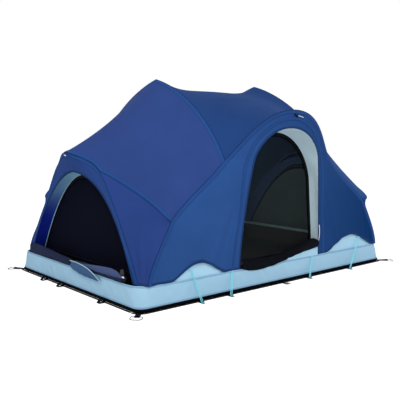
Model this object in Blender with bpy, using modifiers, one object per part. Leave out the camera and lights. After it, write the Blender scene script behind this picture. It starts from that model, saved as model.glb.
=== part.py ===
"""Ground tent with a padded floor, hooded side doors and hooded end windows.

X runs along the long side, Y across it and Z up, in metres. The origin is the centre of the
base on the ground. The near side is -Y and the left end is -X.
"""
import math

import bmesh
import bpy
import numpy as np
from mathutils import Matrix, Vector

# Overall sizes
LENGTH = 2.40
WIDTH = 1.56
APEX_HEIGHT = 1.42
APEX_SPACING = 1.00
CROSSING_SPACING = 1.044
CROSSING_HEIGHT = 0.867
CROSSING_INSET = 0.020
HOOD_TOP_HEIGHT = 1.192
HOOD_REACH = 0.102
SHOULDER_HEIGHT = 0.512
SHOULDER_SETBACK = 0.236
SHOULDER_INSET = 0.006
END_PEAK_HEIGHT = 0.911
END_PEAK_REACH = 0.034
FORK_HEIGHT = 0.797
FORK_SETBACK = 0.049
FORK_HALF_WIDTH = 0.284
SIDE_LEG_SETBACK = 0.065
END_LEG_SETBACK = 0.037
END_LEG_INSET = 0.058

# Door and window openings in the outer cover
DOOR_FOOT_HALF_WIDTH = 0.400
DOOR_SHOULDER_HALF_WIDTH = 0.314
DOOR_SHOULDER_HEIGHT = 0.875
DOOR_SHOULDER_REACH = 0.048
DOOR_TOP_HEIGHT = 1.070
DOOR_TOP_REACH = 0.075
WINDOW_HALF_WIDTH = 0.667
WINDOW_TOP_HEIGHT = 0.777
WINDOW_TOP_SETBACK = 0.027
WINDOW_FOOT_SETBACK = 0.034

# Floor: black ground pad, pale blue band and floor sheet
PAD_THICKNESS = 0.022
PAD_MARGIN = 0.006
PAD_CORNER = 0.055
BAND_HEIGHT = 0.150
BAND_LEDGE = 0.0055
BAND_WALL = 0.003
BAND_CORNER = 0.060
BAND_STEP = 0.002
FLAP_LEAN = 0.010
FLAP_LAP = 0.045
FLAP_LEAST_RISE = 0.001
SHEET_CORNER = 0.040

# Share of a roof panel's shape that is cut full; the rest is taut
ROOF_FULLNESS = 0.205
END_ROOF_FULLNESS = 0.600

# Cloth and clearances
CLOTH = 0.003
SEAM_GAP = 0.0005
SEAT_GAP = 0.0004

# Poles
POLE_RADIUS = 0.00475
POLE_OFFSET = 0.0118
POLE_STACK = 0.0110
POLE_POCKET_DEPTH = 0.012
POLE_LEG_INSET = 0.045
POLE_LEG_STEP = 0.012
POLE_LEG_SPREAD = 0.010
POLE_LEG_DROPS = (0.167, 0.467)
POLE_FOOT_HEIGHT = 0.130
POLE_FOOT_INSET = 0.024
POLE_FOOT_SETBACK = 0.008
POCKET_CLEARANCE = 0.0008
CLIP_WIDTH = 0.022
CLIP_DEPTH = 0.016
CLIP_EDGE = 0.002
CLIP_REACH = 0.20

# Inner walls, mesh doors and mesh windows
INNER_SIDE_Y = 0.700
INNER_END_X = 1.090
SILL_HEIGHT = 0.175
SCREEN_LAP = 0.015
INNER_DOOR_FOOT_HALF = 0.398
INNER_DOOR_KNEE_HALF = 0.350
INNER_DOOR_KNEE_HEIGHT = 0.700
INNER_DOOR_TOP = 1.020
INNER_WINDOW_FOOT_HALF = 0.600
INNER_WINDOW_TOP = 0.735
INNER_WALL_MARGIN = 0.052
INNER_WALL_DROP = 0.045
INNER_HOOD_DROP = 0.075
INNER_LEG_HEIGHTS = (0.22, 0.35)
INNER_LEG_STEP = 0.012
INNER_END_SHOULDER_INSET = 0.035
INNER_END_SHOULDER_HEIGHT = 0.320
INNER_END_LEG_RISE = 0.030
ARCH_KNEE_SHARE = 0.93
ARCH_RISE_SHARE = 0.50
ARCH_TOP_SHARE = 0.55
LINING_KNEE_SHARE = 0.70
LINING_MARGIN = 0.024
LINING_GAP = 0.0012

# Scallops cut in the hem: centre along X from the middle, half width and rise
SCALLOP_NARROW = (0.745, 0.215, 0.088)
SCALLOP_WIDE = (0.790, 0.300, 0.108)
SCALLOP_FULLNESS = 1.4

# Rolled panels
DOOR_ROLL_RADIUS = 0.037
DOOR_ROLL_HALF_LENGTH = 0.385
DOOR_ROLL_RISE = 0.045
WINDOW_ROLL_RADIUS = 0.027
WINDOW_ROLL_HALF_LENGTH = 0.600
DOOR_ROLL_INSET = 0.020
WINDOW_ROLL_INSET = 0.010
WINDOW_ROLL_FLATTENING = 0.8
ROLL_TIE_PINCH = 0.22
ROLL_TIE_SPREAD = 0.05
ROLL_END_TAPER = 0.12
ROLL_RIPPLE = 0.03
ROLL_RIPPLE_RATE = 23

# Webbing, rings, hooks and cords
WEBBING_THICKNESS = 0.003
WEBBING_WIDTH = 0.016
TAB_LENGTH = 0.075
TAB_WIDTH = 0.032
EYE_RADIUS = 0.0053
EYE_BORE = 0.0029
EYE_LIFT = 0.0002
EYE_SETBACK = 0.001
RING_WIRE = 0.0020
RING_WIDTH = 0.075
RING_LENGTH = 0.048
RING_BEND = 0.022
HOOK_REACH = 0.052
HOOK_WIDTH = 0.022
POST_RADIUS = 0.0030
POST_HEIGHT = 0.013
POST_HEAD = 0.0075
POST_ROOT = 0.001
POST_NECK = 0.003
POST_RIM = 0.0015
CORD_RADIUS = 0.0018
CORD_TOP_CLOSING = 0.7
CORD_TOP_REACH = 0.0035
CORD_TOE = 0.010
CORD_TOE_RISE = 0.0032
# Each cord: place of its top on the hem and of its hook, along X on the near side
CORDS = ((-0.820, -0.765), (-0.473, -0.520), (0.330, 0.255), (0.905, 0.735))
STRAP_LOOP_PLACES = (-0.43, 0.10, 0.34)
STRAP_LOOP_LENGTH = 0.040
STRAP_LOOP_WIDTH = 0.030

# Zip slider on the inner wall
SLIDER_LENGTH = 0.026
SLIDER_WIDTH = 0.010
SLIDER_DEPTH = 0.007
SLIDER_START = 0.080
SLIDER_EDGE = 0.0015

# Steps along each seam, shared by the panels on both sides of it
STEPS_ARCH = 8
STEPS_FORK = 3
STEPS_SLOPE = STEPS_ARCH - STEPS_FORK
STEPS_SHOULDER = 6
STEPS_CORNER = 5
STEPS_HOOD = 5
STEPS_SIDE = 8
STEPS_HOOD_DEPTH = 3
STEPS_ROLL = 20
STEPS_BEND = 4
CORNER_STEPS = 4
ROLL_SIDES = 12
RELAX_ROUNDS = 500
SPLIT_DIRECTION = (1.0, 3.0, 7.0)

HALF_L = LENGTH / 2
HALF_W = WIDTH / 2
HEM_HEIGHT = BAND_HEIGHT + SEAT_GAP

COLOURS = {
    "cover_violet": ((0.045, 0.075, 0.260), 0.70),
    "cover_blue": ((0.035, 0.110, 0.330), 0.70),
    "cover_dark": ((0.020, 0.060, 0.160), 0.70),
    "band": ((0.300, 0.520, 0.750), 0.60),
    "black": ((0.012, 0.012, 0.014), 0.75),
    "lining": ((0.360, 0.400, 0.440), 0.65),
    "mesh": ((0.015, 0.018, 0.022), 0.85),
    "inner": ((0.060, 0.090, 0.130), 0.80),
    "pole": ((0.350, 0.360, 0.380), 0.35),
    "plastic": ((0.020, 0.020, 0.022), 0.45),
    "steel": ((0.600, 0.600, 0.600), 0.30),
    "cord": ((0.080, 0.420, 0.500), 0.60),
    "floor": ((0.030, 0.034, 0.045), 0.85),
    "roll": ((0.015, 0.022, 0.045), 0.80),
}
METALS = ("steel",)
SIDES = {"near": -1, "far": 1}
ENDS = {"left": -1, "right": 1}


def clear_scene():
    """Remove what the file holds, then make the two collections."""
    for thing in list(bpy.data.objects):
        bpy.data.objects.remove(thing, do_unlink=True)
    collections = []
    for name in ("tent", "tent_cutters"):
        collection = bpy.data.collections.get(name) or bpy.data.collections.new(name)
        if collection.name not in bpy.context.scene.collection.children:
            bpy.context.scene.collection.children.link(collection)
        collections.append(collection)
    return collections


PARTS, CUTTERS = clear_scene()


def material(name, finish):
    """A Principled material of its own for one piece."""
    colour, roughness = COLOURS[finish]
    made = bpy.data.materials.new(name)
    made.use_nodes = True
    shader = made.node_tree.nodes["Principled BSDF"]
    shader.inputs["Base Color"].default_value = (*colour, 1.0)
    shader.inputs["Roughness"].default_value = roughness
    shader.inputs["Metallic"].default_value = 1.0 if finish in METALS else 0.0
    made.diffuse_color = (*colour, 1.0)
    return made


def add_piece(name, data, finish):
    """Link one named piece of the tent."""
    piece = bpy.data.objects.new(name, data)
    PARTS.objects.link(piece)
    data.materials.clear()
    data.materials.append(material(name, finish))
    return piece


def hide_cutter(cutter):
    """Keep a cutter out of the model."""
    for collection in list(cutter.users_collection):
        collection.objects.unlink(cutter)
    CUTTERS.objects.link(cutter)
    cutter.hide_render = True
    cutter.display_type = "WIRE"
    return cutter


def boolean(piece, cutter, operation):
    """Cut a piece with another, or join the other to it."""
    change = piece.modifiers.new(operation.lower(), "BOOLEAN")
    change.operation = operation
    change.object = cutter


def bezier(start, first, second, end, steps):
    """Points at even steps along a cubic curve."""
    t = np.linspace(0.0, 1.0, steps + 1)[:, None]
    start, first, second, end = (np.array(point, float) for point in (start, first, second, end))
    return ((1 - t) ** 3 * start + 3 * (1 - t) ** 2 * t * first
            + 3 * (1 - t) * t ** 2 * second + t ** 3 * end)


def line(start, end, steps):
    """Points at even steps along a straight line."""
    t = np.linspace(0.0, 1.0, steps + 1)[:, None]
    return (1 - t) * np.array(start, float) + t * np.array(end, float)


def chain(*runs):
    """Several runs of points as one, without the doubled joints."""
    return np.vstack([runs[0]] + [run[1:] for run in runs[1:]])


def shifted(point, dx, dy, dz):
    """A point moved by a handle."""
    return (point[0] + dx, point[1] + dy, point[2] + dz)


# Seams of the outer cover, in the quarter where X and Y are positive. The curves' handles are
# offsets from the points that they leave or reach.
APEX = (APEX_SPACING / 2, 0.0, APEX_HEIGHT)
CROSSING = (CROSSING_SPACING / 2, HALF_W - CROSSING_INSET, CROSSING_HEIGHT)
HOOD_TOP = (0.0, HALF_W + HOOD_REACH, HOOD_TOP_HEIGHT)
SHOULDER = (HALF_L - SHOULDER_SETBACK, HALF_W - SHOULDER_INSET, SHOULDER_HEIGHT)
SIDE_LEG = (HALF_L - SIDE_LEG_SETBACK, HALF_W, HEM_HEIGHT)
END_PEAK = (HALF_L + END_PEAK_REACH, 0.0, END_PEAK_HEIGHT)
FORK = (HALF_L - FORK_SETBACK, FORK_HALF_WIDTH, FORK_HEIGHT)
END_LEG = (HALF_L - END_LEG_SETBACK, HALF_W - END_LEG_INSET, HEM_HEIGHT)
DOOR_SHOULDER = (DOOR_SHOULDER_HALF_WIDTH, HALF_W + DOOR_SHOULDER_REACH, DOOR_SHOULDER_HEIGHT)
DOOR_FOOT = (DOOR_FOOT_HALF_WIDTH, HALF_W, HEM_HEIGHT)
DOOR_TOP = (0.0, HALF_W + DOOR_TOP_REACH, DOOR_TOP_HEIGHT)
WINDOW_FOOT = (HALF_L - WINDOW_FOOT_SETBACK, WINDOW_HALF_WIDTH, HEM_HEIGHT)
WINDOW_TOP = (HALF_L - WINDOW_TOP_SETBACK, 0.0, WINDOW_TOP_HEIGHT)

SEAM_ARCH = bezier(APEX, shifted(APEX, 0, 0.301, -0.074),
                   shifted(CROSSING, -0.006, -0.155, 0.271), CROSSING, STEPS_ARCH)
SEAM_HOOD = bezier(CROSSING, shifted(CROSSING, -0.13, 0.04, 0.12),
                   shifted(HOOD_TOP, 0.28, -0.002, 0), HOOD_TOP, STEPS_HOOD)
SEAM_SHOULDER = bezier(CROSSING, shifted(CROSSING, 0.126, -0.012, -0.134),
                       shifted(SHOULDER, -0.127, -0.024, 0.124), SHOULDER, STEPS_SHOULDER)
SEAM_LEG = bezier(SHOULDER, shifted(SHOULDER, 0.037, 0.004, -0.080),
                  shifted(SIDE_LEG, -0.012, 0, 0.120), SIDE_LEG, STEPS_CORNER)
SEAM_PEAK = bezier(END_PEAK, shifted(END_PEAK, -0.014, 0.106, -0.022),
                   shifted(FORK, 0.001, -0.081, 0.070), FORK, STEPS_FORK)
SEAM_SLOPE = bezier(FORK, shifted(FORK, -0.190, 0.310, -0.170),
                    shifted(SHOULDER, 0.110, 0.090, 0.038), SHOULDER, STEPS_SLOPE)
SEAM_END_LEG = bezier(FORK, shifted(FORK, -0.003, 0.092, -0.080),
                      shifted(END_LEG, -0.026, -0.090, 0.138), END_LEG, STEPS_CORNER)
SEAM_JOIN = line(CROSSING, DOOR_SHOULDER, STEPS_SIDE)
EDGE_DOOR_LEG = bezier(DOOR_SHOULDER, shifted(DOOR_SHOULDER, 0.031, -0.016, -0.145),
                       shifted(DOOR_FOOT, -0.008, 0, 0.230), DOOR_FOOT,
                       STEPS_SHOULDER + STEPS_CORNER)
EDGE_DOOR_TOP = bezier(DOOR_SHOULDER, shifted(DOOR_SHOULDER, -0.040, 0.015, 0.100),
                       shifted(DOOR_TOP, 0.165, 0, 0), DOOR_TOP, STEPS_HOOD)
EDGE_WINDOW = bezier(WINDOW_FOOT, shifted(WINDOW_FOOT, -0.008, -0.133, 0.290),
                     shifted(WINDOW_TOP, -0.038, 0.325, -0.026), WINDOW_TOP,
                     STEPS_FORK + STEPS_CORNER)


def flipped(points, sx, sy):
    """Points of the positive quarter moved to another quarter."""
    return np.array(points) * np.array([sx, sy, 1.0])


def membrane(top, bottom, left, right, rounds=RELAX_ROUNDS, fullness=0.0):
    """Grid of points stretched like taut cloth between four edges.

    top and bottom run left to right, left and right run top to bottom. The inner points start
    on a blend of the edges, then each settles at the mean of its four neighbours. A panel bent
    round an opening takes no rounds, and stays on the blend. A panel cut full keeps a share of
    the blend.
    """
    u = np.linspace(0, 1, len(top))[None, :, None]
    v = np.linspace(0, 1, len(left))[:, None, None]
    ruled = (1 - v) * top[None] + v * bottom[None] + (1 - u) * left[:, None] + u * right[:, None]
    corners = ((1 - u) * (1 - v) * top[0] + u * (1 - v) * top[-1]
               + (1 - u) * v * bottom[0] + u * v * bottom[-1])
    blend = ruled - corners
    grid = blend.copy()
    for _ in range(rounds):
        grid[1:-1, 1:-1] = (grid[:-2, 1:-1] + grid[2:, 1:-1] + grid[1:-1, :-2] + grid[1:-1, 2:]) / 4
    return (1 - fullness) * grid + fullness * blend


def grid_normals(grid):
    """Unit normals of a grid, pointing away from the middle of the tent."""
    normals = np.cross(np.gradient(grid, axis=1), np.gradient(grid, axis=0))
    normals /= np.linalg.norm(normals, axis=2, keepdims=True)
    middle = np.array([0.0, 0.0, APEX_HEIGHT / 4])
    if np.sum(normals * (grid - middle)) < 0:
        normals = -normals
    return normals


def pulled_in(grid, distance):
    """The grid with its edges drawn inwards along the cloth, for the gap at a seam."""
    result = grid.copy()
    for axis in (0, 1):
        for edge, inner in ((0, 1), (-1, -2)):
            outer_row = np.take(grid, edge, axis=axis)
            step = np.take(grid, inner, axis=axis) - outer_row
            step *= distance / np.linalg.norm(step, axis=1, keepdims=True)
            target = [slice(None), slice(None)]
            target[axis] = edge
            result[tuple(target)] += step
    return result


def shell_mesh(name, outer, inner):
    """Closed mesh between an outer and an inner grid of the same size.

    Every quad is split in two. On the rim the split follows the place of its two points, so the
    panels on both sides of a seam are split alike.
    """
    rows, columns = outer.shape[:2]
    build = bmesh.new()
    layers = [[[build.verts.new(point) for point in row] for row in grid] for grid in (outer, inner)]
    skin, back = layers
    for i in range(rows - 1):
        for j in range(columns - 1):
            build.faces.new((skin[i][j], skin[i][j + 1], skin[i + 1][j + 1]))
            build.faces.new((skin[i][j], skin[i + 1][j + 1], skin[i + 1][j]))
            build.faces.new((back[i][j], back[i + 1][j + 1], back[i][j + 1]))
            build.faces.new((back[i][j], back[i + 1][j], back[i + 1][j + 1]))
    rim = ([(0, j) for j in range(columns)] + [(i, columns - 1) for i in range(1, rows)]
           + [(rows - 1, j) for j in range(columns - 2, -1, -1)] + [(i, 0) for i in range(rows - 2, 0, -1)])
    for (a, b), (c, d) in zip(rim, rim[1:] + rim[:1]):
        if np.dot(outer[a][b] - outer[c][d], SPLIT_DIRECTION) > 0:
            build.faces.new((skin[a][b], back[a][b], back[c][d]))
            build.faces.new((skin[a][b], back[c][d], skin[c][d]))
        else:
            build.faces.new((skin[a][b], back[a][b], skin[c][d]))
            build.faces.new((back[a][b], back[c][d], skin[c][d]))
    bmesh.ops.recalc_face_normals(build, faces=build.faces)
    mesh = bpy.data.meshes.new(name)
    build.to_mesh(mesh)
    build.free()
    return mesh


class Cover:
    """The panels of the outer cover, which share the normals along their seams."""

    def __init__(self):
        self.panels = {}
        self.shared = {}

    def add(self, name, grid, finish):
        """Take a panel's middle surface and note its normals at each of its points."""
        normals = grid_normals(grid)
        self.panels[name] = (grid, normals, finish)
        for point, normal in zip(grid.reshape(-1, 3), normals.reshape(-1, 3)):
            self.shared.setdefault(tuple(np.round(point, 5)), []).append(normal)

    def normal(self, point):
        """Mean normal of the panels that meet at a point."""
        total = np.sum(self.shared[tuple(np.round(point, 5))], axis=0)
        return total / np.linalg.norm(total)

    def under(self, points, offset):
        """Points that lie under a seam by an offset, or by one for each point."""
        offsets = np.broadcast_to(offset, len(points))
        return np.array([point - self.normal(point) * depth for point, depth in zip(points, offsets)])

    def build(self):
        """Make each panel a closed sheet, mitred against its neighbours."""
        for name, (grid, _, finish) in self.panels.items():
            normals = np.array([[self.normal(point) for point in row] for row in grid])
            hem = np.abs(grid[:, :, 2] - HEM_HEIGHT) < SEAT_GAP
            normals[hem, 2] = 0
            normals /= np.linalg.norm(normals, axis=2, keepdims=True)
            sheet = pulled_in(grid, SEAM_GAP / 2)
            mesh = shell_mesh(name, sheet + normals * CLOTH / 2, sheet - normals * CLOTH / 2)
            add_piece(name, mesh, finish)


def scallop_for(sx, sy):
    """The two kinds of scallop face each other across the tent."""
    return SCALLOP_NARROW if sx * sy > 0 else SCALLOP_WIDE


def scallop_rise(x, scallop):
    """Height of the hem above its straight line: a smooth arch over the scallop."""
    centre, half, rise = scallop
    across = np.clip(np.abs(np.abs(x) - centre) / half, 0.0, 1.0)
    return rise * np.cos(across * math.pi / 2) ** SCALLOP_FULLNESS


def side_hem(sx, sy):
    """Lower edge of a side panel, from the corner pole to the door."""
    hem = line(SIDE_LEG, DOOR_FOOT, STEPS_SIDE)
    hem[1:-1, 2] += scallop_rise(hem[1:-1, 0], scallop_for(sx, sy))
    return flipped(hem, sx, sy)


def add_cover_panels(cover):
    """Roof, corner, side, door hood and end hood panels."""
    upper_near = chain(flipped(SEAM_HOOD, -1, -1), flipped(SEAM_HOOD[::-1], 1, -1))
    upper_far = flipped(upper_near, 1, -1)
    arch = {sx: chain(flipped(SEAM_ARCH[::-1], sx, -1), flipped(SEAM_ARCH, sx, 1)) for sx in (-1, 1)}
    roof = membrane(upper_near, upper_far, arch[-1], arch[1], fullness=ROOF_FULLNESS)
    cover.add("roof_middle", roof, "cover_dark")
    for end, sx in ENDS.items():
        slope = chain(SEAM_PEAK, SEAM_SLOPE)
        outer = chain(flipped(slope[::-1], sx, -1), flipped(slope, sx, 1))
        near, far = (flipped(SEAM_SHOULDER, sx, sy) for sy in (-1, 1))
        roof = membrane(near, far, arch[sx], outer, fullness=END_ROOF_FULLNESS)
        cover.add(f"roof_{end}", roof, "cover_violet")
        frame = chain(flipped(SEAM_END_LEG[::-1], sx, -1), flipped(SEAM_PEAK[::-1], sx, -1),
                      flipped(SEAM_PEAK, sx, 1), flipped(SEAM_END_LEG, sx, 1))
        edge = chain(flipped(EDGE_WINDOW, sx, -1), flipped(EDGE_WINDOW[::-1], sx, 1))
        rails = [line(frame[k], edge[k], STEPS_HOOD_DEPTH) for k in (0, -1)]
        cover.add(f"end_hood_{end}", membrane(frame, edge, rails[0], rails[1], 0), "cover_violet")
        for side, sy in SIDES.items():
            foot = line(END_LEG, SIDE_LEG, STEPS_SLOPE)
            corner = membrane(flipped(SEAM_SLOPE, sx, sy), flipped(foot, sx, sy),
                              flipped(SEAM_END_LEG, sx, sy), flipped(SEAM_LEG, sx, sy))
            cover.add(f"corner_{side}_{end}", corner, "cover_violet")
            outer_edge = flipped(chain(SEAM_SHOULDER, SEAM_LEG), sx, sy)
            panel = membrane(flipped(SEAM_JOIN, sx, sy), side_hem(sx, sy), outer_edge,
                             flipped(EDGE_DOOR_LEG, sx, sy))
            cover.add(f"side_panel_{side}_{end}", panel, "cover_blue")
    for side, sy in SIDES.items():
        top = chain(flipped(SEAM_HOOD, -1, sy), flipped(SEAM_HOOD[::-1], 1, sy))
        edge = chain(flipped(EDGE_DOOR_TOP, -1, sy), flipped(EDGE_DOOR_TOP[::-1], 1, sy))
        hood = membrane(top, edge, flipped(SEAM_JOIN, -1, sy), flipped(SEAM_JOIN, 1, sy), 0)
        cover.add(f"door_hood_{side}", hood, "cover_blue")


def tube_curve(name, points, radius, resolution, cyclic=False):
    """Round tube along straight runs between points, with filled caps."""
    data = bpy.data.curves.new(name, "CURVE")
    data.dimensions = "3D"
    data.bevel_depth = radius
    data.bevel_resolution = resolution
    data.use_fill_caps = not cyclic
    spline = data.splines.new("POLY")
    spline.points.add(len(points) - 1)
    spline.points.foreach_set("co", np.c_[points, np.ones(len(points))].ravel())
    spline.use_cyclic_u = cyclic
    return data


def mesh_of(curve, name):
    """Welded mesh of a curve, for pieces that are cut or that cut."""
    carrier = bpy.data.objects.new(name, curve)
    bpy.context.scene.collection.objects.link(carrier)
    bpy.context.view_layer.update()
    evaluated = carrier.evaluated_get(bpy.context.evaluated_depsgraph_get())
    mesh = bpy.data.meshes.new_from_object(evaluated)
    mesh.name = name
    bpy.data.objects.remove(carrier)
    build = bmesh.new()
    build.from_mesh(mesh)
    bmesh.ops.remove_doubles(build, verts=build.verts, dist=0.00001)
    bmesh.ops.dissolve_limit(build, angle_limit=0.001, verts=build.verts, edges=build.edges)
    bmesh.ops.recalc_face_normals(build, faces=build.faces)
    build.to_mesh(mesh)
    build.free()
    return mesh


def pole_foot(x, y):
    """Last two points of a pole, straight down into its pocket in the ground pad."""
    bottom = PAD_THICKNESS - POLE_POCKET_DEPTH + SEAT_GAP
    return [(x, y, POLE_FOOT_HEIGHT), (x, y, bottom)]


def pole_routes(cover):
    """Centre lines of the six poles, each just under its seams."""
    routes = {}
    for end, sx in ENDS.items():
        depths = np.linspace(POLE_OFFSET, POLE_OFFSET + POLE_STACK, STEPS_ARCH + 1)
        halves = []
        for sy in (-1, 1):
            upper = cover.under(flipped(SEAM_ARCH, sx, sy), depths)
            x, y = abs(upper[-1][0]) - POLE_LEG_STEP, HALF_W - POLE_LEG_INSET
            foot_x = x - POLE_LEG_SPREAD
            bends = [(x, y, CROSSING_HEIGHT - POLE_LEG_DROPS[0]),
                     (foot_x, y, CROSSING_HEIGHT - POLE_LEG_DROPS[1])]
            leg = bends + pole_foot(foot_x, y)
            halves.append(np.vstack([upper, flipped(leg, sx, sy)]))
        routes[f"pole_arch_{end}"] = chain(halves[0][::-1], halves[1])
        legs = []
        for sy in (-1, 1):
            upper = cover.under(flipped(chain(SEAM_PEAK, SEAM_END_LEG[:-1]), sx, sy), POLE_OFFSET)
            foot = pole_foot(END_LEG[0] - POLE_OFFSET, END_LEG[1] - POLE_OFFSET)
            legs.append(np.vstack([upper, flipped(foot, sx, sy)]))
        routes[f"pole_end_{end}"] = chain(legs[0][::-1], legs[1])
    for side, sy in SIDES.items():
        halves = []
        for sx in (-1, 1):
            seam = chain(SEAM_HOOD[::-1], SEAM_SHOULDER, SEAM_LEG[:-1])
            upper = cover.under(flipped(seam, sx, sy), POLE_OFFSET)
            foot = pole_foot(SIDE_LEG[0] - POLE_FOOT_SETBACK, HALF_W - POLE_FOOT_INSET)
            halves.append(np.vstack([upper, flipped(foot, sx, sy)]))
        routes[f"pole_side_{side}"] = chain(halves[0][::-1], halves[1])
    return routes


def add_poles(routes):
    """Shock-corded poles."""
    for name, route in routes.items():
        add_piece(name, tube_curve(name, route, POLE_RADIUS, 1), "pole")


def add_clips(cover, routes):
    """Clips that hold a side pole and an arch pole where they cross."""
    for side, sy in SIDES.items():
        for end, sx in ENDS.items():
            point = flipped(CROSSING, sx, sy)
            normal = Vector(cover.normal(point))
            along = Vector(flipped(SEAM_SHOULDER[1], sx, sy) - flipped(SEAM_HOOD[1], sx, sy))
            along = (along - along.dot(normal) * normal).normalized()
            centre = Vector(point) - normal * (POLE_OFFSET + POLE_STACK / 2)
            turn = Matrix((along, normal.cross(along), normal)).transposed()
            bpy.ops.mesh.primitive_cube_add(size=1.0)
            clip = bpy.context.active_object
            clip.data.transform(Matrix.Diagonal((CLIP_WIDTH, CLIP_WIDTH, CLIP_DEPTH, 1)))
            clip.data.transform(Matrix.Translation(centre) @ turn.to_4x4())
            for collection in list(clip.users_collection):
                collection.objects.unlink(clip)
            PARTS.objects.link(clip)
            clip.name = f"pole_clip_{side}_{end}"
            clip.data.materials.append(material(clip.name, "plastic"))
            edge = clip.modifiers.new("edges", "BEVEL")
            edge.width = CLIP_EDGE
            edge.segments = 1
            for pole in (f"pole_side_{side}", f"pole_arch_{end}"):
                near = [p for p in routes[pole] if np.linalg.norm(p - np.array(centre)) < CLIP_REACH]
                name = f"cut_{clip.name}_{pole}"
                groove = tube_curve(name, np.array(near), POLE_RADIUS + SEAT_GAP, 4)
                cutter = bpy.data.objects.new(name, mesh_of(groove, name))
                boolean(clip, hide_cutter(cutter), "DIFFERENCE")


def rounded_outline(half_l, half_w, radius, steps):
    """Rounded rectangle as a list of corner arcs, anticlockwise from the +X side."""
    points = []
    for quarter, (sx, sy) in enumerate(((1, 1), (-1, 1), (-1, -1), (1, -1))):
        for k in range(steps + 1):
            angle = (quarter + k / steps) * math.pi / 2
            points.append((sx * (half_l - radius) + radius * math.cos(angle),
                           sy * (half_w - radius) + radius * math.sin(angle)))
    return points


def flat_curve(name, outlines, thickness):
    """Flat piece with the given outline and holes, centred on its own plane."""
    data = bpy.data.curves.new(name, "CURVE")
    data.dimensions = "2D"
    data.fill_mode = "BOTH"
    data.extrude = thickness / 2
    for outline in outlines:
        spline = data.splines.new("POLY")
        spline.points.add(len(outline) - 1)
        flat = np.array([(x, y, 0.0, 1.0) for x, y in outline])
        spline.points.foreach_set("co", flat.ravel())
        spline.use_cyclic_u = True
    return data


def add_ground_pad(routes):
    """Black ground pad with a pocket for each pole tip."""
    outline = rounded_outline(HALF_L + PAD_MARGIN, HALF_W + PAD_MARGIN, PAD_CORNER, CORNER_STEPS)
    mesh = mesh_of(flat_curve("ground_pad", [outline], PAD_THICKNESS), "ground_pad")
    mesh.transform(Matrix.Translation((0, 0, PAD_THICKNESS / 2)))
    pad = add_piece("ground_pad", mesh, "black")
    for name, route in routes.items():
        for tip in (route[0], route[-1]):
            bpy.ops.mesh.primitive_cylinder_add(
                vertices=8, radius=POLE_RADIUS + POCKET_CLEARANCE, depth=2 * POLE_POCKET_DEPTH,
                location=(tip[0], tip[1], PAD_THICKNESS))
            cutter = bpy.context.active_object
            cutter.name = f"pocket_{name}_{'near' if tip[1] < 0 else 'far'}_{'l' if tip[0] < 0 else 'r'}"
            boolean(pad, hide_cutter(cutter), "DIFFERENCE")


def scallop_marks(scallop):
    """Places along X where a scallop needs a point, with its two ends."""
    centre, half, _ = scallop
    return [centre + half * share for share in (-1.0, -0.85, -0.45, 0.0, 0.45, 0.85, 1.0)]


def band_stations():
    """Places round the band: a point on its wall's outer plane and the outward direction."""
    straight_l = HALF_L - BAND_CORNER
    straight_w = HALF_W - BAND_CORNER
    marks = ([-straight_l] + [-x for x in reversed(scallop_marks(SCALLOP_NARROW))] + [-0.2, 0.0, 0.2]
             + scallop_marks(SCALLOP_WIDE) + [straight_l])
    near = [(x, -HALF_W, 0.0, -1.0) for x in marks]
    end = [(HALF_L, straight_w * t, 1.0, 0.0) for t in (-1.0, -0.5, 0.0, 0.5, 1.0)]
    corners = []
    for start in (-math.pi / 2, 0.0):
        turn = []
        for angle in (start + math.pi / 8 * k for k in (1, 2, 3)):
            nx, ny = math.cos(angle), math.sin(angle)
            turn.append((straight_l + BAND_CORNER * nx, math.copysign(straight_w, ny) + BAND_CORNER * ny,
                         nx, ny))
        corners.append(turn)
    half = near + corners[0] + end + corners[1]
    return half + [(-x, -y, -nx, -ny) for x, y, nx, ny in half]


def add_band():
    """Pale blue wall of the floor, with flaps that stand up behind the scalloped hem."""
    bottom = PAD_THICKNESS + SEAT_GAP
    rings = []
    for x, y, nx, ny in band_stations():
        on_side = abs(ny) > 0.999
        rise = scallop_rise(x, scallop_for(np.sign(x), np.sign(y))) if on_side else 0.0
        flap = FLAP_LAP + rise if rise > FLAP_LEAST_RISE else -BAND_STEP
        lean = FLAP_LEAN * (rise > FLAP_LEAST_RISE)
        outer, ledge = CLOTH / 2, CLOTH / 2 - BAND_LEDGE
        inner = ledge - BAND_WALL
        profile = [(outer, bottom), (outer, BAND_HEIGHT), (ledge, BAND_HEIGHT),
                   (ledge - lean, BAND_HEIGHT + flap), (inner - lean, BAND_HEIGHT + flap),
                   (inner, BAND_HEIGHT), (inner, bottom)]
        rings.append([(x + nx * d, y + ny * d, z) for d, z in profile])
    build = bmesh.new()
    verts = [[build.verts.new(point) for point in ring] for ring in rings]
    for ring, following in zip(verts, verts[1:] + verts[:1]):
        for k in range(len(ring)):
            build.faces.new((ring[k - 1], ring[k], following[k], following[k - 1]))
    bmesh.ops.triangulate(build, faces=build.faces)
    bmesh.ops.recalc_face_normals(build, faces=build.faces)
    mesh = bpy.data.meshes.new("floor_band")
    build.to_mesh(mesh)
    build.free()
    add_piece("floor_band", mesh, "band")


def add_floor_sheet():
    """Sewn floor of the cabin, on the ground pad between the inner walls."""
    gap = CLOTH / 2 + SEAT_GAP
    outline = rounded_outline(INNER_END_X - gap, INNER_SIDE_Y - gap, SHEET_CORNER, CORNER_STEPS)
    mesh = mesh_of(flat_curve("floor_sheet", [outline], CLOTH), "floor_sheet")
    mesh.transform(Matrix.Translation((0, 0, PAD_THICKNESS + SEAT_GAP + CLOTH / 2)))
    add_piece("floor_sheet", mesh, "floor")


def mirrored_outline(half):
    """Closed outline from its right half, listed from the foot up to the top."""
    return [(x, z) for x, z in half] + [(-x, z) for x, z in reversed(half) if x > 0]


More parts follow.
